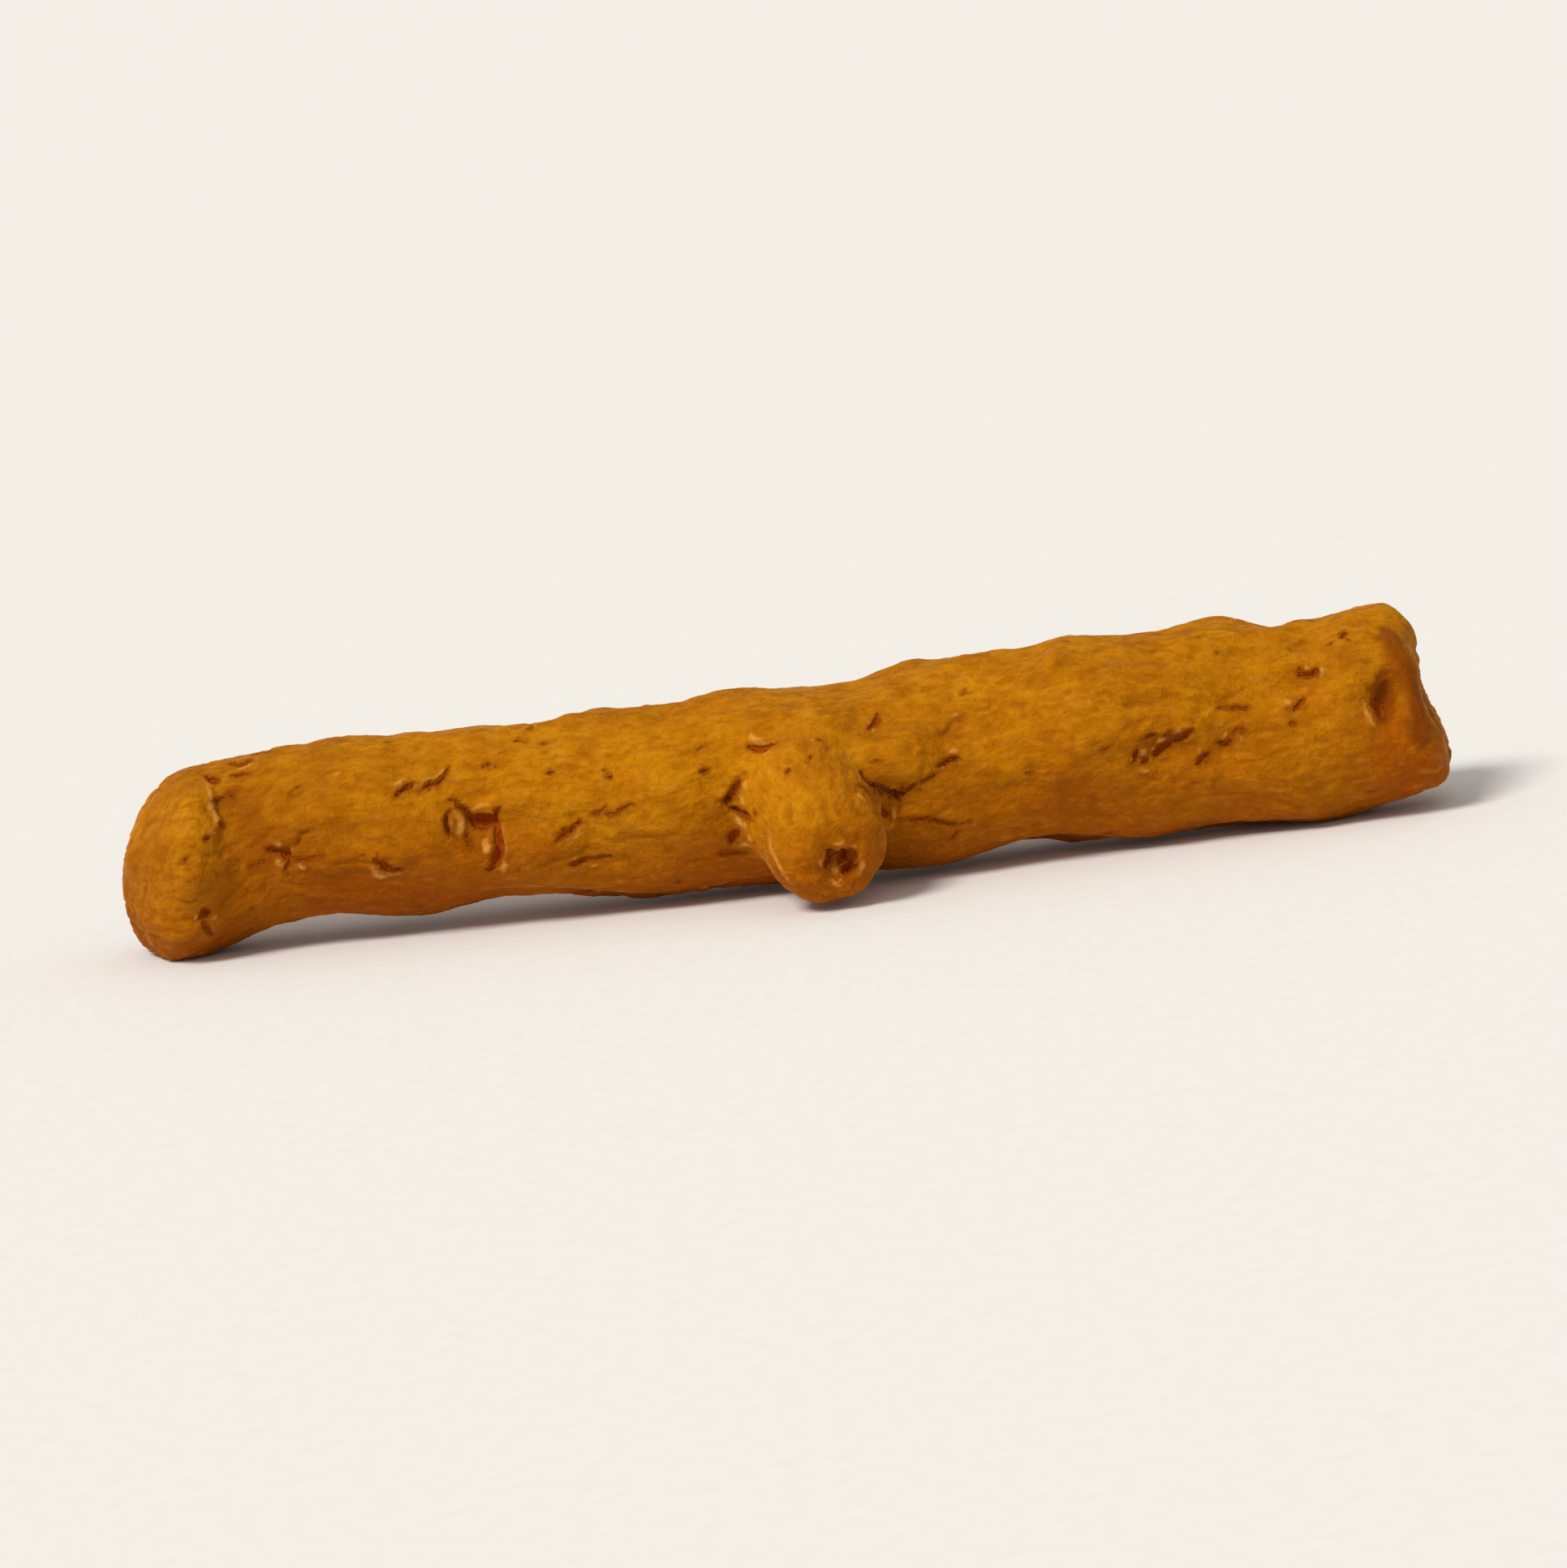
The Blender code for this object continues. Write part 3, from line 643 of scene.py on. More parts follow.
        Mark(((-0.3, 0.5), (-0.3, -0.1)), 0.40, 0.14, Kind.CHIP),
    )),
    Patch("hooked pit before the broken end", along=68.3, turn=40, marks=(
        Mark(((-0.7, 0.1), (-0.2, -0.1), (0.3, 0.0), (0.5, 0.3)), 0.38, 0.32, flap=-0.4),
        Mark(((-0.2, 0.3), (0.2, 0.5)), 0.34, 0.10, Kind.CHIP),
        Mark(((0.8, 0.4), (0.7, -0.4)), 0.38, 0.14, Kind.CHIP),
    )),
    Patch("dents on the knuckle", along=68.1, turn=65, marks=(
        Mark(((-0.6, -0.6), (0.1, 0.1), (0.7, 0.5)), 0.34, 0.18, Kind.CREASE),
        Mark(((-0.9, -0.2), (0.0, 0.4), (0.6, 0.8)), 0.40, 0.10, Kind.RIDGE),
        Mark(((2.6, 0.4), (2.5, -0.3)), 0.40, 0.26, Kind.PIT, flap=-0.4),
        Mark(((1.7, -0.4),), 0.28, 0.12, Kind.PIT),
    )),
    Patch("fold beside the broken end", along=72.2, turn=20, marks=(
        # painted shade: the first stain darkens the fold's hollow, the second the end's face beyond it,
        # turned from the light
        Mark(((0.5, 1.0), (0.2, 0.0), (0.0, -1.3)), 1.9, 0.85, Kind.STAIN),
        Mark(((1.0, 3.2), (1.5, 1.2), (2.1, -0.6), (1.9, -2.6)), 2.5, 1.0, Kind.STAIN),
        Mark(((0.8, 1.4), (0.4, 0.4), (0.1, -0.6), (0.2, -1.7)), 1.50, 0.40, Kind.CREASE),
        Mark(((-0.9, 0.5), (-0.4, 0.2), (0.0, -0.1)), 0.50, 0.20, Kind.CREASE),
        Mark(((-0.1, 0.0), (0.0, -0.6), (0.0, -1.1)), 0.36, 0.20),
        # painted shade in the slot of the fold
        Mark(((0.3, 0.6), (0.3, -0.6)), 1.1, 1.0, Kind.STAIN),
        Mark(((0.4, 0.6), (0.3, -0.7)), 0.80, 0.24, Kind.CREASE),
        Mark(((1.4, 0.0), (1.2, -0.8), (1.0, -1.6)), 0.90, 0.30, Kind.RIDGE),
        Mark(((-1.2, -0.1), (-0.9, -0.9), (-0.5, -1.6)), 0.50, 0.12, Kind.CHIP),
    )),
)

END_PATCHES = (
    Patch("root scar on the domed end", face=Face.LEFT_END, marks=(
        Mark(((0.6, 0.8), (1.4, 0.2)), 2.2, 0.35, Kind.STAIN),
        Mark(((0.7, 0.9), (1.2, 0.5)), 0.60, 0.32, Kind.PIT, flap=0.5),
        Mark(((-1.4, 1.6), (-0.4, 1.9), (0.4, 1.6)), 0.24, 0.20, flap=0.5),
        Mark(((-1.2, -0.8), (-0.4, -1.2), (0.8, -1.0), (1.8, -1.5)), 0.30, 0.18, Kind.CREASE, flap=0.4),
        Mark(((1.9, 1.2), (2.3, 0.6)), 0.36, 0.10, Kind.CHIP),
    )),
)


@dataclass(frozen=True)
class Crack:
    """A sort of ragged crack that runs mostly along the grain. Its pairs are the least and the most."""

    count: int
    length: Range
    slope: Range
    wander: Range
    steps: int
    kinds: tuple[Kind, ...]
    width: Range
    depth: Range
    flap: Range

    def drawn(self, draw: random.Random) -> Mark:
        """Draws one crack.

        Args:
            draw: the seeded generator.

        Returns:
            The crack.
        """
        step = draw.uniform(*self.length) / self.steps
        slope = draw.uniform(*self.slope)
        path = [(0.0, 0.0)]
        for _ in range(self.steps):
            right, up = path[-1]
            path.append((right + step, up + slope * step + draw.uniform(*self.wander)))
        kind = draw.choice(self.kinds)
        width, depth, flap = (draw.uniform(*size) for size in (self.width, self.depth, self.flap))
        return Mark(tuple(path), width, depth, kind, flap)


@dataclass(frozen=True)
class Stroke:
    """A sort of small mark made with one short stroke. Its pairs are the least and the most."""

    count: int
    kind: Kind
    right: Range
    up: Range
    width: Range
    depth: Range
    flap: Range | None = None

    def drawn(self, draw: random.Random) -> Mark:
        """Draws one such mark.

        Args:
            draw: the seeded generator.

        Returns:
            The mark.
        """
        path = ((0.0, 0.0), (draw.uniform(*self.right), draw.uniform(*self.up)))
        width, depth = draw.uniform(*self.width), draw.uniform(*self.depth)
        flap = 0.0 if self.flap is None else draw.uniform(*self.flap)
        return Mark(path, width, depth, self.kind, flap)


@dataclass(frozen=True)
class Ring:
    """One uneven ring in the broken end. It starts at an angle in radians, where its ends meet."""

    radius: float
    width: float
    depth: float
    start: float

    def path(self, draw: random.Random, unevenness: Range, steps: int) -> tuple[Spot, ...]:
        """Draws the ring's path.

        Args:
            draw: the seeded generator.
            unevenness: the least and the most share of its radius.
            steps: how many steps it takes round.

        Returns:
            The path's points.
        """
        ring = []
        for step in range(steps + 1):
            angle = self.start + 2.0 * math.pi * step / steps
            out = self.radius * draw.uniform(*unevenness)
            ring.append((out * math.cos(angle), out * math.sin(angle)))
        return tuple(ring)


@dataclass(frozen=True)
class BrokenEnd:
    """The broken end: a browned middle, rings round its rind and core with painted shade along their grooves,
    and the cut ends of its fibres.
    """

    rings: tuple[Ring, ...] = (Ring(3.5, 0.50, 0.16, 0.9), Ring(2.1, 0.26, 0.14, 4.0))
    unevenness: Range = (0.86, 1.14)
    ring_steps: int = 12
    middle: tuple[Spot, ...] = ((-0.8, 0.3), (1.0, -0.3))
    middle_browning: float = 0.35
    ring_shade: float = 0.75
    ring_shade_spread: float = 1.2
    bundles: int = 70
    bundle_kinds: tuple[Kind, ...] = (Kind.PIT, Kind.CHIP, Kind.RIDGE)
    bundle_width: Range = (0.20, 0.40)
    bundle_depth: Range = (0.05, 0.14)

    def patch(self, draw: random.Random) -> Patch:
        """Draws the broken end.

        Args:
            draw: the seeded generator.

        Returns:
            Its patch, for the right end.
        """
        reach = self.rings[0].radius
        marks = [Mark(self.middle, 2.0 * reach, self.middle_browning, Kind.STAIN)]
        for ring in self.rings:
            path = ring.path(draw, self.unevenness, self.ring_steps)
            # painted shade: each ring's groove is darkened by a stain along it
            marks.append(Mark(path, self.ring_shade_spread * ring.width, self.ring_shade, Kind.STAIN))
            marks.append(Mark(path, ring.width, ring.depth, Kind.CREASE, flap=0.5))
        for _ in range(self.bundles):
            angle = draw.uniform(0.0, 2.0 * math.pi)
            out = reach * math.sqrt(draw.random())
            spot = (out * math.cos(angle), out * math.sin(angle))
            kind = draw.choice(self.bundle_kinds)
            width, depth = draw.uniform(*self.bundle_width), draw.uniform(*self.bundle_depth)
            marks.append(Mark((spot,), width, depth, kind))
        return Patch("broken end", tuple(marks), face=Face.RIGHT_END)


@dataclass(frozen=True)
class HiddenMarks:
    """The marks of the sides that the photograph doesn't show, drawn by a seeded rule."""

    seed: int = 7
    along: Range = (4.0, 72.0)
    hidden: Range = (92.0, 292.0)
    all_round: Range = (0.0, 360.0)
    end: BrokenEnd = BrokenEnd()
    cracks: Crack = Crack(
        count=30, length=(0.8, 3.2), slope=(-0.3, 0.5), wander=(-0.3, 0.3), steps=4,
        kinds=(Kind.CRACK, Kind.CRACK, Kind.CREASE),
        width=(0.18, 0.36), depth=(0.18, 0.40), flap=(-0.9, 0.9),
    )
    pits: Stroke = Stroke(
        count=34, kind=Kind.PIT, right=(0.3, 1.0), up=(-0.5, 0.5),
        width=(0.3, 0.6), depth=(0.15, 0.4), flap=(-0.8, 0.8),
    )
    chips: Stroke = Stroke(
        count=24, kind=Kind.CHIP, right=(0.3, 0.9), up=(-0.4, 0.4), width=(0.3, 0.5), depth=(0.06, 0.12),
    )
    dashes: Stroke = Stroke(
        count=60, kind=Kind.PIT, right=(0.2, 0.8), up=(-0.2, 0.5),
        width=(0.10, 0.18), depth=(0.06, 0.14), flap=(-0.5, 0.5),
    )

    def drawn(self) -> list[Patch]:
        """Draws the broken end, cracks, pits and chips at the back and below, and tiny dashes all round.

        Returns:
            The patches, the largest marks first.
        """
        draw = random.Random(self.seed)
        patches = [self.end.patch(draw)]
        for sort, turns in ((self.cracks, self.hidden), (self.pits, self.hidden),
                            (self.chips, self.hidden), (self.dashes, self.all_round)):
            spots = self.spots(draw, sort.count, turns)
            patches += [Patch("hidden mark", (sort.drawn(draw),), *spot) for spot in spots]
        return patches

    def spots(self, draw: random.Random, count: int, turns: Range) -> list[Spot]:
        """Spreads spots evenly but without rows, so that few marks meet.

        Args:
            draw: the seeded generator.
            count: how many spots.
            turns: the first and the last angle round the finger, in degrees.

        Returns:
            (mm along, degrees round) of each spot.
        """
        golden = (math.sqrt(5.0) - 1.0) / 2.0
        start = draw.random()
        step = (self.along[1] - self.along[0]) / count
        return [
            (self.along[0] + step * (number + draw.random()),
             turns[0] + (turns[1] - turns[0]) * ((start + number * golden) % 1.0))
            for number in range(count)
        ]


@dataclass(frozen=True)
class Texture:
    """A noise texture: cells for each unit, finer layers, their strength, and how far it is pulled about."""

    scale: float
    detail: float = 3.0
    roughness: float = 0.5
    distortion: float = 0.0


class ShaderNodes:
    """A material's node tree, with short ways to add its nodes.

    The Mix node has inputs and outputs of several sorts. Those for colours have the places named below.
    """

    MIX_SHARE, MIX_FIRST, MIX_SECOND, MIX_RESULT = 0, 6, 7, 2

    def __init__(self, name: str) -> None:
        """Makes the material with its surface shader.

        Args:
            name: the material's name.
        """
        self.material = bpy.data.materials.new(name)
        self.material.use_nodes = True
        self.tree = self.material.node_tree
        self.shader = self.tree.nodes["Principled BSDF"]

    def add(self, kind: str, **settings: object) -> bpy.types.Node:
        """Adds a node.

        Args:
            kind: the node's type.
            settings: its properties.

        Returns:
            The node.
        """
        node = self.tree.nodes.new(kind)
        for name, value in settings.items():
            setattr(node, name, value)
        return node

    def fill(self, node: bpy.types.Node, values: dict[str | int, object]) -> None:
        """Sets or joins a node's inputs.

        Args:
            node: the node.
            values: for each input's name or place, a number, a colour, or a socket to join. None leaves it.
        """
        for name, value in values.items():
            if isinstance(value, bpy.types.NodeSocket):
                self.tree.links.new(value, node.inputs[name])
            elif value is not None:
                node.inputs[name].default_value = value

    def stored(self, name: str, output: str = "Fac") -> bpy.types.NodeSocket:
        """Reads what the mesh stores at its points, as a number or, from the output Vector, as three."""
        return self.add("ShaderNodeAttribute", attribute_name=name).outputs[output]

    def maths(self, operation: str, first: object, second: object = None) -> bpy.types.NodeSocket:
        """Adds a sum of two numbers or sockets.

        Args:
            operation: the Math node's operation.
            first: a number or a socket.
            second: a number or a socket, where the operation takes two.

        Returns:
            The result's socket.
        """
        node = self.add("ShaderNodeMath", operation=operation)
        self.fill(node, {0: first, 1: second})
        return node.outputs[0]

    def spread(self, value: bpy.types.NodeSocket, span: Range,
               results: Range = (0.0, 1.0)) -> bpy.types.NodeSocket:
        """Maps a value smoothly from one range to another.

        Args:
            value: the socket to map.
            span: the values where the result starts and stops changing.
            results: the result at each of them.

        Returns:
            The result's socket, held inside its range.
        """
        node = self.add("ShaderNodeMapRange", interpolation_type="SMOOTHSTEP")
        names = ("Value", "From Min", "From Max", "To Min", "To Max")
        self.fill(node, dict(zip(names, (value, *span, *results))))
        return node.outputs["Result"]

    def mottle(self, place: bpy.types.NodeSocket, texture: Texture) -> bpy.types.NodeSocket:
        """Adds a noise texture.

        Args:
            place: the coordinates that it reads.
            texture: its sizes.

        Returns:
            The noise's value, about 0.3 to 0.7 most of the time.
        """
        node = self.add("ShaderNodeTexNoise", noise_dimensions="3D")
        self.fill(node, {"Vector": place, "Scale": texture.scale, "Detail": texture.detail,
                         "Roughness": texture.roughness, "Distortion": texture.distortion})
        return node.outputs["Fac"]

    def blend(self, share: object, first: object, second: object) -> bpy.types.NodeSocket:
        """Mixes two colours.

        Args:
            share: how much of the second, as a number or a socket.
            first: a colour or a socket.
            second: a colour or a socket.

        Returns:
            The mixed colour's socket.
        """
        node = self.add("ShaderNodeMix", data_type="RGBA")
        self.fill(node, {self.MIX_SHARE: share, self.MIX_FIRST: first, self.MIX_SECOND: second})
        return node.outputs[self.MIX_RESULT]


def shade(red: int, green: int, blue: int) -> Colour:
    """Turns a colour as a screen shows it into the linear one that a shader takes.

    Args:
        red: its red, 0 to 255.
        green: its green, 0 to 255.
        blue: its blue, 0 to 255.

    Returns:
        Its linear red, green and blue, 0 to 1, and 1 for opaque.
    """
    parts = (channel / 255 for channel in (red, green, blue))
    return (*(part / 12.92 if part <= 0.04045 else ((part + 0.055) / 1.055) ** 2.4 for part in parts), 1.0)


class Reading(Enum):
    """What the skin's colour follows: the first five are stored by its mesh, under these names."""

    CUT = "cut"
    FLAKE = "flake"
    STAIN = "stain"
    RELIEF = "relief"
    WARMTH = "warmth"
    STREAK = "broad streaks along the grain"
    FIBRE = "fine streaks along the grain"
    MOTTLE = "soft mottling"
    SPECK = "fine specks"
    CLOUD = "slow clouds"
    DUST = "patches of dust"
    # read only to paint a pale highlight along the rims
    GRAZING = "how far the skin turns from the eye"


STORED = (Reading.CUT, Reading.FLAKE, Reading.STAIN, Reading.RELIEF, Reading.WARMTH)
BUD_SHARE = "bud_share"
GRAIN, BUD_GRAIN = "grain", "bud_grain"


@dataclass(frozen=True)
class Coat:
    """A thin coat of a tone, from nothing to its strength as what it follows goes through its span."""

    follows: Reading
    tone: Colour
    span: Range
    strength: float = 1.0


@dataclass(frozen=True)
class SkinFinish:
    """The dusty mustard skin: ochre with pale flaky edges and red-brown cuts. It has painted shade, olive in
    its hollows and darker orange towards the table, and painted highlight, gold on its crests and pale along
    its rims.

    The coats lie over the ochre in their order. The heights are the shares of the fine relief, whose whole
    height is in metres. The spans of the coats that follow a cut are mm from its edge, negative inside.
    """

    ochre: Colour = shade(175, 106, 2)
    gold: Colour = shade(188, 120, 3)
    # orange: the darker tone of the painted shade below, and of the slow warm patches
    orange: Colour = shade(156, 73, 1)
    olive: Colour = shade(142, 77, 2)
    brown: Colour = shade(118, 50, 2)
    flesh: Colour = shade(154, 68, 3)
    core: Colour = shade(132, 48, 3)
    pale: Colour = shade(216, 148, 66)
    glint: Colour = (1.0, 0.70, 0.25, 1.0)
    inside: Range = (0.05, -0.06)
    coats: tuple[Coat, ...] = (
        Coat(Reading.CLOUD, gold, (0.36, 0.66)),
        # painted shade: darker and more orange towards the table, with slow warm patches of real tone
        Coat(Reading.WARMTH, orange, (0.0, 1.0)),
        Coat(Reading.STREAK, olive, (0.54, 0.36), 0.36),
        Coat(Reading.STREAK, gold, (0.54, 0.70), 0.40),
        Coat(Reading.FIBRE, brown, (0.52, 0.34), 0.20),
        Coat(Reading.FIBRE, pale, (0.56, 0.70), 0.15),
        Coat(Reading.MOTTLE, olive, (0.50, 0.34), 0.25),
        # painted shade: olive darkens the wrinkles' creases and dimples; painted highlight: gold lightens
        # their crests
        Coat(Reading.RELIEF, olive, (0.0, -1.0), 0.50),
        Coat(Reading.RELIEF, gold, (0.1, 1.0), 0.35),
        Coat(Reading.SPECK, brown, (0.60, 0.72), 0.28),
        Coat(Reading.DUST, pale, (0.58, 0.74), 0.10),
        # brown from real stains, and painted shade where stains lie over hollows and shaded faces
        Coat(Reading.STAIN, brown, (0.0, 1.0), 0.80),
        Coat(Reading.FLAKE, pale, (0.1, 0.9), 0.75),
        # painted highlight: a pale rim where the skin turns away from the eye
        Coat(Reading.GRAZING, pale, (0.78, 0.97), 0.50),
        Coat(Reading.CUT, brown, (0.28, 0.0), 0.55),
        Coat(Reading.CUT, flesh, inside),
        Coat(Reading.CUT, core, (-0.05, -0.17)),
    )
    textures: tuple[tuple[Reading, Texture], ...] = (
        (Reading.MOTTLE, Texture(1400.0, 3.0, 0.60, 0.3)),
        (Reading.SPECK, Texture(3000.0, 2.0, 0.60)),
        (Reading.CLOUD, Texture(260.0, 4.0, 0.55)),
        (Reading.DUST, Texture(520.0, 5.0, 0.65)),
    )
    streaks: tuple[tuple[Reading, Texture], ...] = (
        (Reading.STREAK, Texture(1.0, 4.0, 0.58, 0.5)),
        (Reading.FIBRE, Texture(2.4, 3.0, 0.58, 0.5)),
    )
    cut_edge: Texture = Texture(3400.0, 3.0)
    edge_straying: float = 0.34
    heights: tuple[tuple[Reading, float], ...] = (
        (Reading.STREAK, 0.7), (Reading.FIBRE, 0.35), (Reading.MOTTLE, 0.9), (Reading.SPECK, 0.35),
    )
    cut_height: float = -0.8
    bump_height: float = 0.00015
    roughness: float = 0.80
    roughness_change: float = 0.08
    rough_span: Range = (0.35, 0.65)
    specular: float = 0.14
    sheen: float = 0.08
    sheen_roughness: float = 0.25

    def material(self) -> bpy.types.Material:
        """Builds the skin's material.

        Returns:
            A material that reads what the finger's mesh stores.
        """
        nodes = ShaderNodes("finger_skin")
        readings = self.readings(nodes)
        colour = self.ochre
        for coat in self.coats:
            share = nodes.spread(readings[coat.follows], coat.span, (0.0, coat.strength))
            colour = nodes.blend(share, colour, coat.tone)
        bump = nodes.add("ShaderNodeBump")
        height = self.relief(nodes, readings)
        nodes.fill(bump, {"Strength": 1.0, "Distance": self.bump_height, "Height": height})
        rougher, smoother = self.roughness + self.roughness_change, self.roughness - self.roughness_change
        nodes.fill(nodes.shader, {
            "Base Color": colour,
            "Normal": bump.outputs["Normal"],
            "Roughness": nodes.spread(readings[Reading.STREAK], self.rough_span, (rougher, smoother)),
            "Specular IOR Level": self.specular,
            "Specular Tint": self.glint,
            "Sheen Weight": self.sheen,
            "Sheen Roughness": self.sheen_roughness,
            "Sheen Tint": self.pale,
        })
        return nodes.material

    def readings(self, nodes: ShaderNodes) -> dict[Reading, bpy.types.NodeSocket]:
        """Makes what the coats follow.

        Args:
            nodes: the material's nodes.

        Returns:
            The socket of each reading. The cut's edge strays a little from the stored one.
        """
        place = nodes.add("ShaderNodeTexCoord").outputs["Object"]
        found = {reading: nodes.stored(reading.value) for reading in STORED}
        found.update({reading: nodes.mottle(place, texture) for reading, texture in self.textures})
        found.update({reading: self.along_grain(nodes, texture) for reading, texture in self.streaks})
        found[Reading.GRAZING] = nodes.add("ShaderNodeLayerWeight").outputs["Facing"]
        straying = nodes.maths("SUBTRACT", nodes.mottle(place, self.cut_edge), 0.5)
        straying = nodes.maths("MULTIPLY", straying, self.edge_straying)
        found[Reading.CUT] = nodes.maths("ADD", found[Reading.CUT], straying)
        return found

    def relief(self, nodes: ShaderNodes,
               readings: dict[Reading, bpy.types.NodeSocket]) -> bpy.types.NodeSocket:
        """Adds up the skin's fine relief.

        Args:
            nodes: the material's nodes.
            readings: what the coats follow.

        Returns:
            The height's socket.
        """
        parts = [(readings[reading], share) for reading, share in self.heights]
        parts.append((nodes.spread(readings[Reading.CUT], self.inside), self.cut_height))
        height, *others = [nodes.maths("MULTIPLY", value, share) for value, share in parts]
        for other in others:
            height = nodes.maths("ADD", height, other)
        return height

    @staticmethod
    def along_grain(nodes: ShaderNodes, texture: Texture) -> bpy.types.NodeSocket:
        """Makes fine streaks that run with the finger, and turn to run with the bud on the bud.

        Args:
            nodes: the material's nodes.
            texture: their sizes, for the stored grain.

        Returns:
            The streaks' value, about 0.3 to 0.7 most of the time.
        """
        finger, bud = (nodes.mottle(nodes.stored(name, "Vector"), texture) for name in (GRAIN, BUD_GRAIN))
        turned = nodes.maths("MULTIPLY", nodes.maths("SUBTRACT", bud, finger), nodes.stored(BUD_SHARE))
        return nodes.maths("ADD", finger, turned)


@dataclass
class Ground:
    """The smooth skin that marks are laid on: its points in mm, their normals, and what rays hit.

    Rays start outside, that many mm from the middle line.
    """

    points: np.ndarray
    normals: np.ndarray
    tree: BVHTree
    line: MiddleLine
    outside: float = 30.0
    shortest: float = 1e-9

    @classmethod
    def of(cls, skin: bpy.types.Object) -> "Ground":
        """Reads the ground from the smooth skin.

        Args:
            skin: the smooth skin's object.

        Returns:
            The ground.
        """
        count = len(skin.data.vertices)
        points, normals = np.empty(count * 3), np.empty(count * 3)
        skin.data.vertices.foreach_get("co", points)
        skin.data.vertices.foreach_get("normal", normals)
        points = points.reshape(-1, 3) / MM
        tree = BVHTree.FromObject(skin, bpy.context.evaluated_depsgraph_get())
        return cls(points, normals.reshape(-1, 3), tree, MiddleLine.of(points))

    def hit(self, origin: np.ndarray, way: np.ndarray) -> np.ndarray | None:
        """Where a ray from outside meets the skin, in mm, or None where it misses."""
        found = self.tree.ray_cast(Vector(origin * MM), Vector(way))[0]
        return None if found is None else np.array(found) / MM

    def on_side(self, along: float, angle: float) -> np.ndarray | None:
        """Finds a point of the skin's side.

        Args:
            along: mm along the finger.
            angle: the angle round it, in radians.

        Returns:
            The point in mm, or None where there is no skin.
        """
        out = np.array([0.0, -math.cos(angle), math.sin(angle)])
        return self.hit(self.line.middle(self.line.left + along) + out * self.outside, -out)

    def on_end(self, face: Face, back: float, up: float) -> np.ndarray | None:
        """Finds a point of one of the skin's ends.

        Args:
            face: the end.
            back: mm towards the back from the end's middle.
            up: mm up from the end's middle.

        Returns:
            The point in mm, or None where there is no skin.
        """
        x, side = (self.line.stations[0], -1.0) if face is Face.LEFT_END else (self.line.stations[-1], 1.0)
        origin = self.line.middle(x) + np.array([side * self.outside, back, up])
        return self.hit(origin, np.array([-side, 0.0, 0.0]))

    def lay(self, patch: Patch, mark: Mark) -> tuple[np.ndarray, np.ndarray, np.ndarray] | None:
        """Lays a mark's path on the skin.

        Args:
            patch: the patch that the mark belongs to.
            mark: the mark.

        Returns:
            The stations' points in mm, the path's direction at each and each one's share of the way, or None
            where the path misses the skin.
        """
        angle = math.radians(patch.turn)
        spot = self.on_side(patch.along, angle)
        far = 1.0 if spot is None else math.dist(spot, self.line.middle(self.line.left + patch.along))
        places, shares = [], []
        for right, up, share in mark.stations():
            if patch.face is Face.SIDE:
                place = self.on_side(patch.along + right, angle + up / far)
            else:
                place = self.on_end(patch.face, right, up)
            if place is not None:
                places.append(place)
                shares.append(share)
        if not places:
            return None
        spots = np.array(places)
        tangents = np.gradient(spots, axis=0) if len(spots) > 1 else np.array([[1.0, 0.0, 0.0]])
        tangents /= np.maximum(np.linalg.norm(tangents, axis=1, keepdims=True), self.shortest)
        return spots, tangents, np.array(shares)


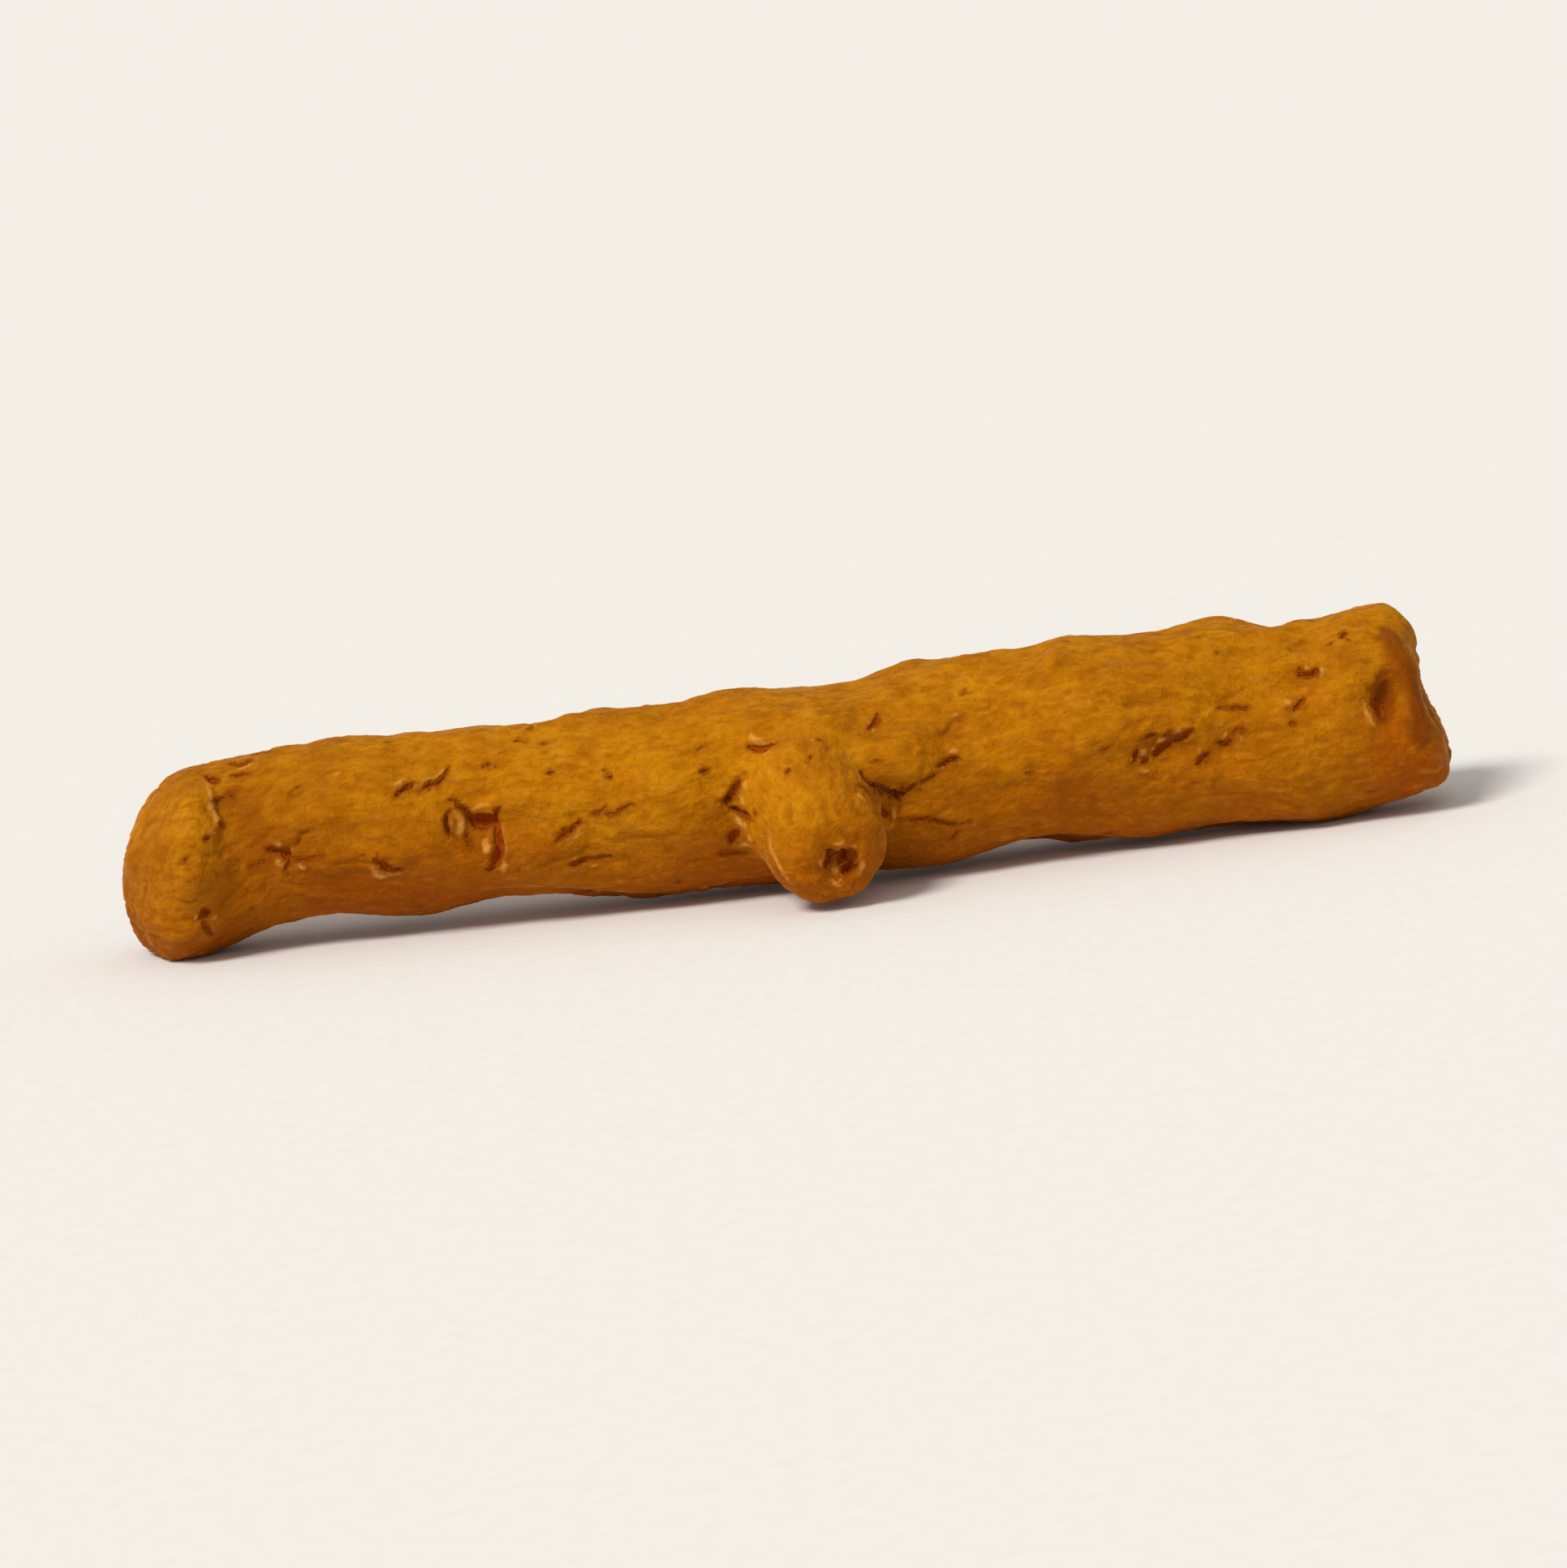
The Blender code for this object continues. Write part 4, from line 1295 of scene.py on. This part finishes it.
@dataclass
class Marking:
    """What all the marks together do to each point of the skin.

    Of its results, rise is how far the point moves out, in mm. Distance is how far it is from the nearest
    dark cut's edge, negative inside. Flake is how pale and flaky it is, stain how browned it is by stains and
    how darkened by painted shade, and calm how far the skin's own wrinkles give way to the marks.

    Of its sizes, most pairs are a usual value and how much it changes with the jitter or with what the pair
    is used for. The shoulder and the bottom are places across a mark, in half widths from its edge. The
    lengths are in mm.
    """

    ground: Ground
    wander: float
    crumbs: Crumbs = Crumbs()
    seed: int = 19
    far_off: float = 1.5
    jitter: Pattern = Pattern(0.50, 51, 2, 0.7)
    straying: tuple[Pattern, ...] = (Pattern(0.9, 53), Pattern(0.9, 54), Pattern(0.9, 55))
    near_widths: float = 3.0
    near_more: float = 0.6
    end_roundness: Range = (2.6, 0.6)
    end_width: Range = (0.15, 0.85)
    width_jitter: Range = (1.0, 0.7)
    least_width: float = 0.3
    least_half: float = 0.02
    shoulder: float = 0.35
    bottom: float = 1.25
    end_depth: float = 0.35
    stain_and_shade_fringe: float = 0.3
    chip_jitter: Range = (0.75, 0.4)
    chip_calm: float = 0.4
    cut_calm: float = 0.7
    highest: float = 0.06
    lip_place: float = 0.14
    lip_width: float = 0.14
    lip_turn: Range = (-0.05, 0.12)
    lip_lift: Range = (0.4, 1.6)
    lip_jitter: Range = (0.8, 0.6)
    shallow_edge: float = 0.2
    halo: float = 0.30
    halo_strength: Range = (0.20, 0.35)
    halo_jitter: Range = (0.8, 0.5)

    def __post_init__(self) -> None:
        """Starts with an unmarked skin."""
        points = self.ground.points
        count = len(points)
        self.rise = np.zeros(count)
        self.distance = np.full(count, self.far_off)
        self.flake = np.zeros(count)
        self.stain = np.zeros(count)
        self.calm = np.zeros(count)
        self.jitters = self.jitter.at(points)
        self.draw = random.Random(self.seed)
        strayed = np.stack([pattern.at(points) for pattern in self.straying], axis=1)
        self.points = points + self.wander * strayed

    def add(self, patch: Patch) -> None:
        """Adds a patch's marks, in their order, and the crumbs along them.

        Args:
            patch: the patch.
        """
        for mark in (*patch.marks, *self.crumbs.beside(patch, self.draw)):
            laid = self.ground.lay(patch, mark)
            if laid is None:
                log.warning("%s: a mark misses the skin", patch.name)
            else:
                self.cut(mark, *laid)

    def cut(self, mark: Mark, places: np.ndarray, tangents: np.ndarray, shares: np.ndarray) -> None:
        """Cuts or raises one mark.

        Args:
            mark: the mark.
            places: its stations on the skin, in mm.
            tangents: the path's direction at each station.
            shares: each station's share of the way.
        """
        reach = self.near_widths * mark.width + self.near_more
        past_low = self.points > places.min(axis=0) - reach
        short_of_high = self.points < places.max(axis=0) + reach
        near = np.flatnonzero(np.all(past_low & short_of_high, axis=1))
        if len(near) == 0:
            return
        offsets = self.points[near, None, :] - places[None, :, :]
        apart = np.linalg.norm(offsets, axis=2)
        nearest = apart.argmin(axis=1)
        rows = np.arange(len(near))
        left = np.cross(self.ground.normals[near], tangents[nearest])
        side = np.einsum("ij,ij->i", offsets[rows, nearest], left)
        taper = self.taper(shares[nearest], len(places))
        jitter = self.jitters[near]
        widths = np.maximum(level(self.width_jitter, jitter), self.least_width)
        half = 0.5 * mark.width * level(self.end_width, taper) * widths
        edge = apart[rows, nearest] - half + mark.ragged * jitter
        across = edge / np.maximum(half, self.least_half)
        depth = ease(across, self.shoulder, mark.kind.steepness - self.bottom)
        depth *= np.maximum(taper, self.end_depth)
        if mark.kind is Kind.STAIN:
            self.most(self.stain, near, mark.depth * ease(edge, self.stain_and_shade_fringe * mark.width, -half))
        elif mark.kind.raised:
            self.rise[near] += mark.depth * depth
            self.most(self.flake, near, mark.kind.paleness * depth * level(self.chip_jitter, jitter))
            self.most(self.calm, near, self.chip_calm * depth)
        else:
            self.sink(mark, near, edge, side, taper, depth)

    def taper(self, shares: np.ndarray, stations: int) -> np.ndarray:
        """How full a mark is, 1 in its middle to 0 at its ends, or 1 where it is a single spot.

        Args:
            shares: shares of the way along its path.
            stations: how many stations its path has.

        Returns:
            One value for each share.
        """
        if stations == 1:
            return np.ones(len(shares))
        power, root = self.end_roundness
        return (1.0 - np.abs(2.0 * shares - 1.0) ** power) ** root

    def sink(self, mark: Mark, near: np.ndarray, edge: np.ndarray, side: np.ndarray, taper: np.ndarray,
             depth: np.ndarray) -> None:
        """Sinks a cut, and curls up the skin beside it.

        Args:
            mark: the mark.
            near: the numbers of the points near it.
            edge: each one's distance from the cut's edge, in mm, negative inside.
            side: how far each is to the left of the path, in mm.
            taper: how full the cut is there, 1 in its middle to 0 at its ends.
            depth: how deep the cut is there, as a share of its depth.
        """
        jitter = self.jitters[near]
        lip_side = ease(side * np.sign(mark.flap), *self.lip_turn) * abs(mark.flap)
        lip = np.exp(-((edge - self.lip_place) / self.lip_width) ** 2) * taper
        self.rise[near] = np.minimum(self.rise[near], self.highest) - mark.depth * depth
        self.rise[near] += level(self.lip_lift, lip_side) * mark.kind.lift * lip
        self.most(self.flake, near, mark.kind.paleness * lip * lip_side * level(self.lip_jitter, jitter))
        self.most(self.calm, near, self.cut_calm * depth)
        if mark.kind.darkness > 0.0:
            shadow = edge + (1.0 - mark.kind.darkness) * self.shallow_edge
            self.distance[near] = np.minimum(self.distance[near], shadow)
        strength = level(self.halo_strength, mark.kind.darkness)
        brown = np.exp(-np.maximum(edge, 0.0) / self.halo) * strength * taper
        self.most(self.stain, near, brown * level(self.halo_jitter, jitter))

    @staticmethod
    def most(values: np.ndarray, near: np.ndarray, others: np.ndarray) -> None:
        """Raises the values of the near points to the others where those are more."""
        values[near] = np.maximum(values[near], others)


@dataclass(frozen=True)
class Wrinkles:
    """The skin's own relief: swells, creases along the grain, thin creases, dimples and fuzz.

    Thin creases gather towards the domed end. Creases and thin creases take turns in slow patches. The pairs
    that end in turns are what each keeps outside its patches and what it gains in them. Depths are mm.
    """

    warps: tuple[Pattern, ...] = (Pattern(3.1, 11), Pattern(2.3, 12), Pattern(2.3, 13))
    warp: Cell = (1.2, 0.55, 0.55)
    swells: Pattern = Pattern((3.6, 1.9, 1.9), 21, 2)
    creases: Pattern = Pattern((5.0, 1.25, 1.25), 23)
    thin_creases: Pattern = Pattern((2.8, 0.80, 0.80), 25)
    dimples: Pattern = Pattern((1.3, 0.9, 0.9), 31)
    patches: Pattern = Pattern(7.0, 27, 2)
    fuzz: Pattern = Pattern((0.9, 0.55, 0.55), 29, 2)
    dimple_span: Range = (0.18, 0.62)
    patch_span: Range = (-0.25, 0.35)
    crease_width: float = 0.22
    thin_width: float = 0.16
    sharpness: float = 1.5
    crease_turns: Range = (0.20, 0.80)
    thin_turns: Range = (0.3, 0.7)
    gathered: Range = (17.0, 9.0)
    thin_depth: Range = (0.35, 0.75)
    swell_depth: float = 0.055
    crease_depth: float = 0.11
    dimple_depth: float = 0.06
    fuzz_depth: float = 0.050
    shown_swell: float = 0.35
    shown_fuzz: float = 0.7
    shown_crease: float = 0.7
    shown_thin: Range = (0.3, 0.6)
    shown_dimple: float = 0.6

    def over(self, grain: np.ndarray, points: np.ndarray) -> tuple[np.ndarray, np.ndarray]:
        """Wrinkles the skin.

        Args:
            grain: coordinates along the grain and across it, in mm.
            points: skin points, in mm.

        Returns:
            The rise of each point in mm, and the same as -1 in the deepest creases to 1 on the crests.
        """
        warp = np.stack([pattern.at(points) for pattern in self.warps], axis=1)
        flow = grain + warp * np.array(self.warp)
        swell, fuzz = self.swells.at(flow), self.fuzz.at(flow)
        dimple = ease(self.dimples.at(flow), *self.dimple_span)
        patchy = ease(self.patches.at(points), *self.patch_span)
        crease = self.valley(self.creases.at(flow), self.crease_width)
        crease *= level(self.crease_turns, patchy)
        thin = self.valley(self.thin_creases.at(flow), self.thin_width)
        thin *= level(self.thin_turns, 1.0 - patchy)
        gathered = ease(points[:, 0] - points[:, 0].min(), *self.gathered)
        rise = (
            self.swell_depth * swell
            - self.crease_depth * (crease + level(self.thin_depth, gathered) * thin)
            - self.dimple_depth * dimple
            + self.fuzz_depth * fuzz
        )
        # shown: read by the colour, as painted shade in the creases and dimples and painted highlight on the
        # swells
        shown = (
            self.shown_swell * swell + self.shown_fuzz * fuzz - self.shown_crease * crease
            - level(self.shown_thin, gathered) * thin - self.shown_dimple * dimple
        )
        return rise, np.clip(shown, -1.0, 1.0)

    def valley(self, values: np.ndarray, width: float) -> np.ndarray:
        """A sharp valley: 1 where a value is 0, falling to 0 at the width on each side."""
        return np.clip(1.0 - np.abs(values) / width, 0.0, 1.0) ** self.sharpness


@dataclass(frozen=True)
class ToneAndLowShade:
    """How the skin's colour changes slowly over the finger: painted shade that makes it darker and more
    orange below, and browner at the domed end.
    """

    warm_level: float = 0.30
    painted_low_shade: float = 0.55
    warm_patches: Pattern = Pattern(9.0, 41, 2)
    warm_change: float = 0.45
    brown_span: Range = (30.0, 8.0)
    brown_level: float = 0.30
    brown_patches: Pattern = Pattern(5.0, 43, 3)
    brown_change: float = 0.40
    patch_level: float = 0.05
    brownest: float = 0.5

    def warmth(self, points: np.ndarray, line: MiddleLine) -> np.ndarray:
        """How orange the skin is: more towards the table, which is painted shade, and in slow patches, less
        along the top.

        Args:
            points: skin points, in mm.
            line: the finger's middle line.

        Returns:
            A share from 0 to 1 for each point.
        """
        _, middle_z, radius = line.at(points[:, 0])
        height = (points[:, 2] - middle_z) / radius
        # painted shade: the lower the skin lies, the more orange and darker it is painted
        warm_and_low_shade = self.warm_level - self.painted_low_shade * height + self.warm_change * self.warm_patches.at(points)
        return np.clip(warm_and_low_shade, 0.0, 1.0)

    def browning(self, points: np.ndarray, line: MiddleLine) -> np.ndarray:
        """How browned the skin is in slow patches, more towards the domed end.

        Args:
            points: skin points, in mm.
            line: the finger's middle line.

        Returns:
            A share for each point.
        """
        near_end = self.brown_level * ease(points[:, 0] - line.left, *self.brown_span)
        patches = self.brown_change * (self.brown_patches.at(points) - self.patch_level)
        return np.clip(near_end + patches, 0.0, self.brownest)


@dataclass
class Finger:
    """The grown finger with its bud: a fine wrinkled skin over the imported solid. Lengths are mm.

    The skin's quads have sides of one cell. Its allowance sinks it a little, so that its crests stay inside
    the solid's box. The streak size is the grain that counts as one unit for the streaks of the finish.
    """

    node: str = "turmeric_root"
    piece: str = "finger_skin"
    body: str = "root"
    slot: str = "turmeric_skin"
    weld: float = 0.002
    join_angle: float = 0.6
    join_shape: float = 0.8
    subdivisions: int = 2
    cell: float = 0.20
    smoothing: float = 0.5
    smoothing_rounds: int = 3
    skin_allowance: float = 0.05
    wander: float = 0.18
    streak_size: Cell = (1.6, 0.70, 0.70)
    wrinkles: Wrinkles = Wrinkles()
    tone_and_low_shade: ToneAndLowShade = ToneAndLowShade()
    hidden: HiddenMarks = HiddenMarks()
    finish: SkinFinish = SkinFinish()

    def build(self) -> bpy.types.Object:
        """Builds the skin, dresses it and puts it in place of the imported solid.

        Returns:
            The finished object.
        """
        skin = self.fine_copy()
        ground = Ground.of(skin)
        points, line = ground.points, ground.line
        bud = Bud()
        bud.measure(points, line)
        share = bud.share(points, line)
        grains = {GRAIN: self.grain(points, line), BUD_GRAIN: bud.grain(points)}
        along, across = (self.wrinkles.over(grain, points) for grain in grains.values())
        wrinkles, relief = (first + share * (second - first) for first, second in zip(along, across))
        marking = Marking(ground, self.wander)
        for patch in (*FRONT_PATCHES, *END_PATCHES, *self.hidden.drawn()):
            marking.add(patch)
        rise = wrinkles * (1.0 - marking.calm) + marking.rise - self.skin_allowance
        low, high = (np.array(corner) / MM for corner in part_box(self.node))
        moved = np.clip(points + ground.normals * rise[:, None], low, high)
        skin.data.vertices.foreach_set("co", (moved * MM).ravel())
        self.store(skin.data, {
            Reading.CUT.value: marking.distance,
            Reading.FLAKE.value: marking.flake,
            Reading.STAIN.value: np.maximum(marking.stain, self.tone_and_low_shade.browning(points, line)),
            Reading.RELIEF.value: relief,
            Reading.WARMTH.value: self.tone_and_low_shade.warmth(points, line),
            BUD_SHARE: share,
        })
        for name, grain in grains.items():
            layer = skin.data.attributes.new(name, "FLOAT_VECTOR", "POINT")
            layer.data.foreach_set("vector", (grain / np.array(self.streak_size)).ravel())
        skin.data.update()
        skin.data.shade_smooth()
        skin.data.materials.clear()
        skin.data.materials.append(self.finish.material())
        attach(skin, self.body)
        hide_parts(self.node)
        return skin

    def fine_copy(self) -> bpy.types.Object:
        """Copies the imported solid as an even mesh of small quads.

        Returns:
            The copy, with no modifiers left on it.
        """
        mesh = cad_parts[self.node].data.copy()
        mesh.name = self.piece
        work = bmesh.new()
        work.from_mesh(mesh)
        bmesh.ops.remove_doubles(work, verts=work.verts, dist=self.weld * MM)
        bmesh.ops.join_triangles(
            work, faces=work.faces,
            angle_face_threshold=self.join_angle, angle_shape_threshold=self.join_shape,
        )
        work.to_mesh(mesh)
        work.free()
        for layer in list(mesh.uv_layers):
            mesh.uv_layers.remove(layer)
        skin = bpy.data.objects.new(self.piece, mesh)
        bpy.context.scene.collection.objects.link(skin)
        subdivide = skin.modifiers.new("round", "SUBSURF")
        subdivide.levels = subdivide.render_levels = self.subdivisions
        remesh = skin.modifiers.new("even", "REMESH")
        remesh.mode = "VOXEL"
        remesh.voxel_size = self.cell * MM
        smooth = skin.modifiers.new("soften", "SMOOTH")
        smooth.factor = self.smoothing
        smooth.iterations = self.smoothing_rounds
        graph = bpy.context.evaluated_depsgraph_get()
        fine = bpy.data.meshes.new_from_object(skin.evaluated_get(graph), depsgraph=graph)
        skin.modifiers.clear()
        skin.data = fine
        skin.data.name = self.piece
        return skin

    @staticmethod
    def store(mesh: bpy.types.Mesh, layers: dict[str, np.ndarray]) -> None:
        """Keeps one number for each point in each layer, for the material to read.

        Args:
            mesh: the skin's mesh.
            layers: the values, by their layer's name.
        """
        for name, values in layers.items():
            layer = mesh.attributes.new(name, "FLOAT", "POINT")
            layer.data.foreach_set("value", values.astype(np.float32))

    @staticmethod
    def grain(points: np.ndarray, line: MiddleLine) -> np.ndarray:
        """Coordinates along the finger and across it, in mm."""
        middle_y, middle_z, _ = line.at(points[:, 0])
        return np.stack([points[:, 0] - line.left, points[:, 1] - middle_y, points[:, 2] - middle_z], axis=1)


@dataclass(frozen=True)
class FloorFinish:
    """A plain pale matt floor with the faintest grain."""

    paper: Colour = shade(238, 236, 232)
    fleck: Colour = shade(230, 227, 222)
    mottling: Texture = Texture(900.0, 4.0)
    roughness: float = 0.85
    specular: float = 0.1

    def material(self) -> bpy.types.Material:
        """Builds the floor's material.

        Returns:
            The material.
        """
        nodes = ShaderNodes("floor_paper")
        mottle = nodes.mottle(nodes.add("ShaderNodeTexCoord").outputs["Object"], self.mottling)
        nodes.fill(nodes.shader, {
            "Base Color": nodes.blend(mottle, self.paper, self.fleck),
            "Roughness": self.roughness,
            "Specular IOR Level": self.specular,
        })
        return nodes.material


@dataclass
class Studio:
    """The pale floor, the soft light and the camera. Its lengths are metres.

    The camera's rise is its angle above the table. Fill is the share of the frame's width that the finger
    takes up, and the camera sees as far as sight times the floor's half width.
    """

    floor_half: float = 12.0
    camera_rise: float = 10.0
    camera_roll: float = -7.0
    lens: float = 135.0
    sensor: float = 36.0
    fill: float = 0.88
    nearest: float = 0.01
    sight: float = 4.0
    key_strength: float = 2.55
    key_spread: float = 20.0
    key_from: tuple[float, float, float] = (-0.60, -0.60, 0.95)
    key_colour: tuple[float, float, float] = (1.0, 0.975, 0.94)
    sky: Colour = (1.0, 0.985, 0.96, 1.0)
    sky_strength: float = 0.5
    floor_finish: FloorFinish = FloorFinish()

    def build(self) -> list[bpy.types.Object]:
        """Lays the floor and sets the lights and the camera.

        Returns:
            The floor, the key light and the camera.
        """
        return [self.lay_floor(), self.set_lights(), self.set_camera()]

    def lay_floor(self) -> bpy.types.Object:
        """Lays the wide floor at table height.

        Returns:
            The floor.
        """
        half = self.floor_half
        corners = [(-half, -half, 0.0), (half, -half, 0.0), (half, half, 0.0), (-half, half, 0.0)]
        mesh = bpy.data.meshes.new("floor")
        mesh.from_pydata(corners, [], [(0, 1, 2, 3)])
        mesh.materials.append(self.floor_finish.material())
        floor = bpy.data.objects.new("floor", mesh)
        bpy.context.scene.collection.objects.link(floor)
        return floor

    def set_lights(self) -> bpy.types.Object:
        """Sets a broad soft key from the upper left and a pale sky for the fill.

        Returns:
            The key light.
        """
        lamp = bpy.data.lights.new("key", "SUN")
        lamp.energy = self.key_strength
        lamp.angle = math.radians(self.key_spread)
        lamp.color = self.key_colour
        key = bpy.data.objects.new("key", lamp)
        key.rotation_mode = "QUATERNION"
        key.rotation_quaternion = (-Vector(self.key_from)).to_track_quat("-Z", "Y")
        bpy.context.scene.collection.objects.link(key)
        world = bpy.data.worlds.new("sky")
        world.use_nodes = True
        background = world.node_tree.nodes["Background"]
        background.inputs["Color"].default_value = self.sky
        background.inputs["Strength"].default_value = self.sky_strength
        bpy.context.scene.world = world
        bpy.context.scene.view_settings.view_transform = "Standard"
        return key

    def set_camera(self) -> bpy.types.Object:
        """Aims the camera so that the finger fills its share of the frame's width, rising to the right.

        Returns:
            The camera.
        """
        low, high = CAD_BOX
        centre = (low + high) / 2
        rise, roll = math.radians(self.camera_rise), math.radians(self.camera_roll)
        back = Vector((0.0, -math.cos(rise), math.sin(rise)))
        level_view = (-back).to_track_quat("-Z", "Y")
        camera = bpy.data.objects.new("camera", bpy.data.cameras.new("camera"))
        camera.data.lens = self.lens
        camera.data.sensor_width = self.sensor
        width = (high.x - low.x) * math.cos(roll) + (high.z - low.z) * abs(math.sin(roll))
        long_side = max(PHOTO_WIDTH, PHOTO_HEIGHT) / PHOTO_WIDTH
        distance = width / self.fill * long_side * self.lens / self.sensor
        camera.location = centre + back * distance
        camera.rotation_mode = "QUATERNION"
        camera.rotation_quaternion = level_view @ Quaternion((0.0, 0.0, 1.0), roll)
        camera.data.clip_start = self.nearest
        camera.data.clip_end = self.sight * self.floor_half
        bpy.context.scene.collection.objects.link(camera)
        bpy.context.scene.camera = camera
        return camera


def main() -> None:
    """Builds the studio and the finger in it, and reports each piece."""
    logging.basicConfig(level=logging.INFO, format="%(message)s")
    for piece in (*Studio().build(), Finger().build()):
        size = " x ".join(f"{side:.4f}" for side in piece.dimensions)
        log.info("%s: %s, %s m", piece.name, piece.type.lower(), size)


if __name__ == "__main__":
    main()
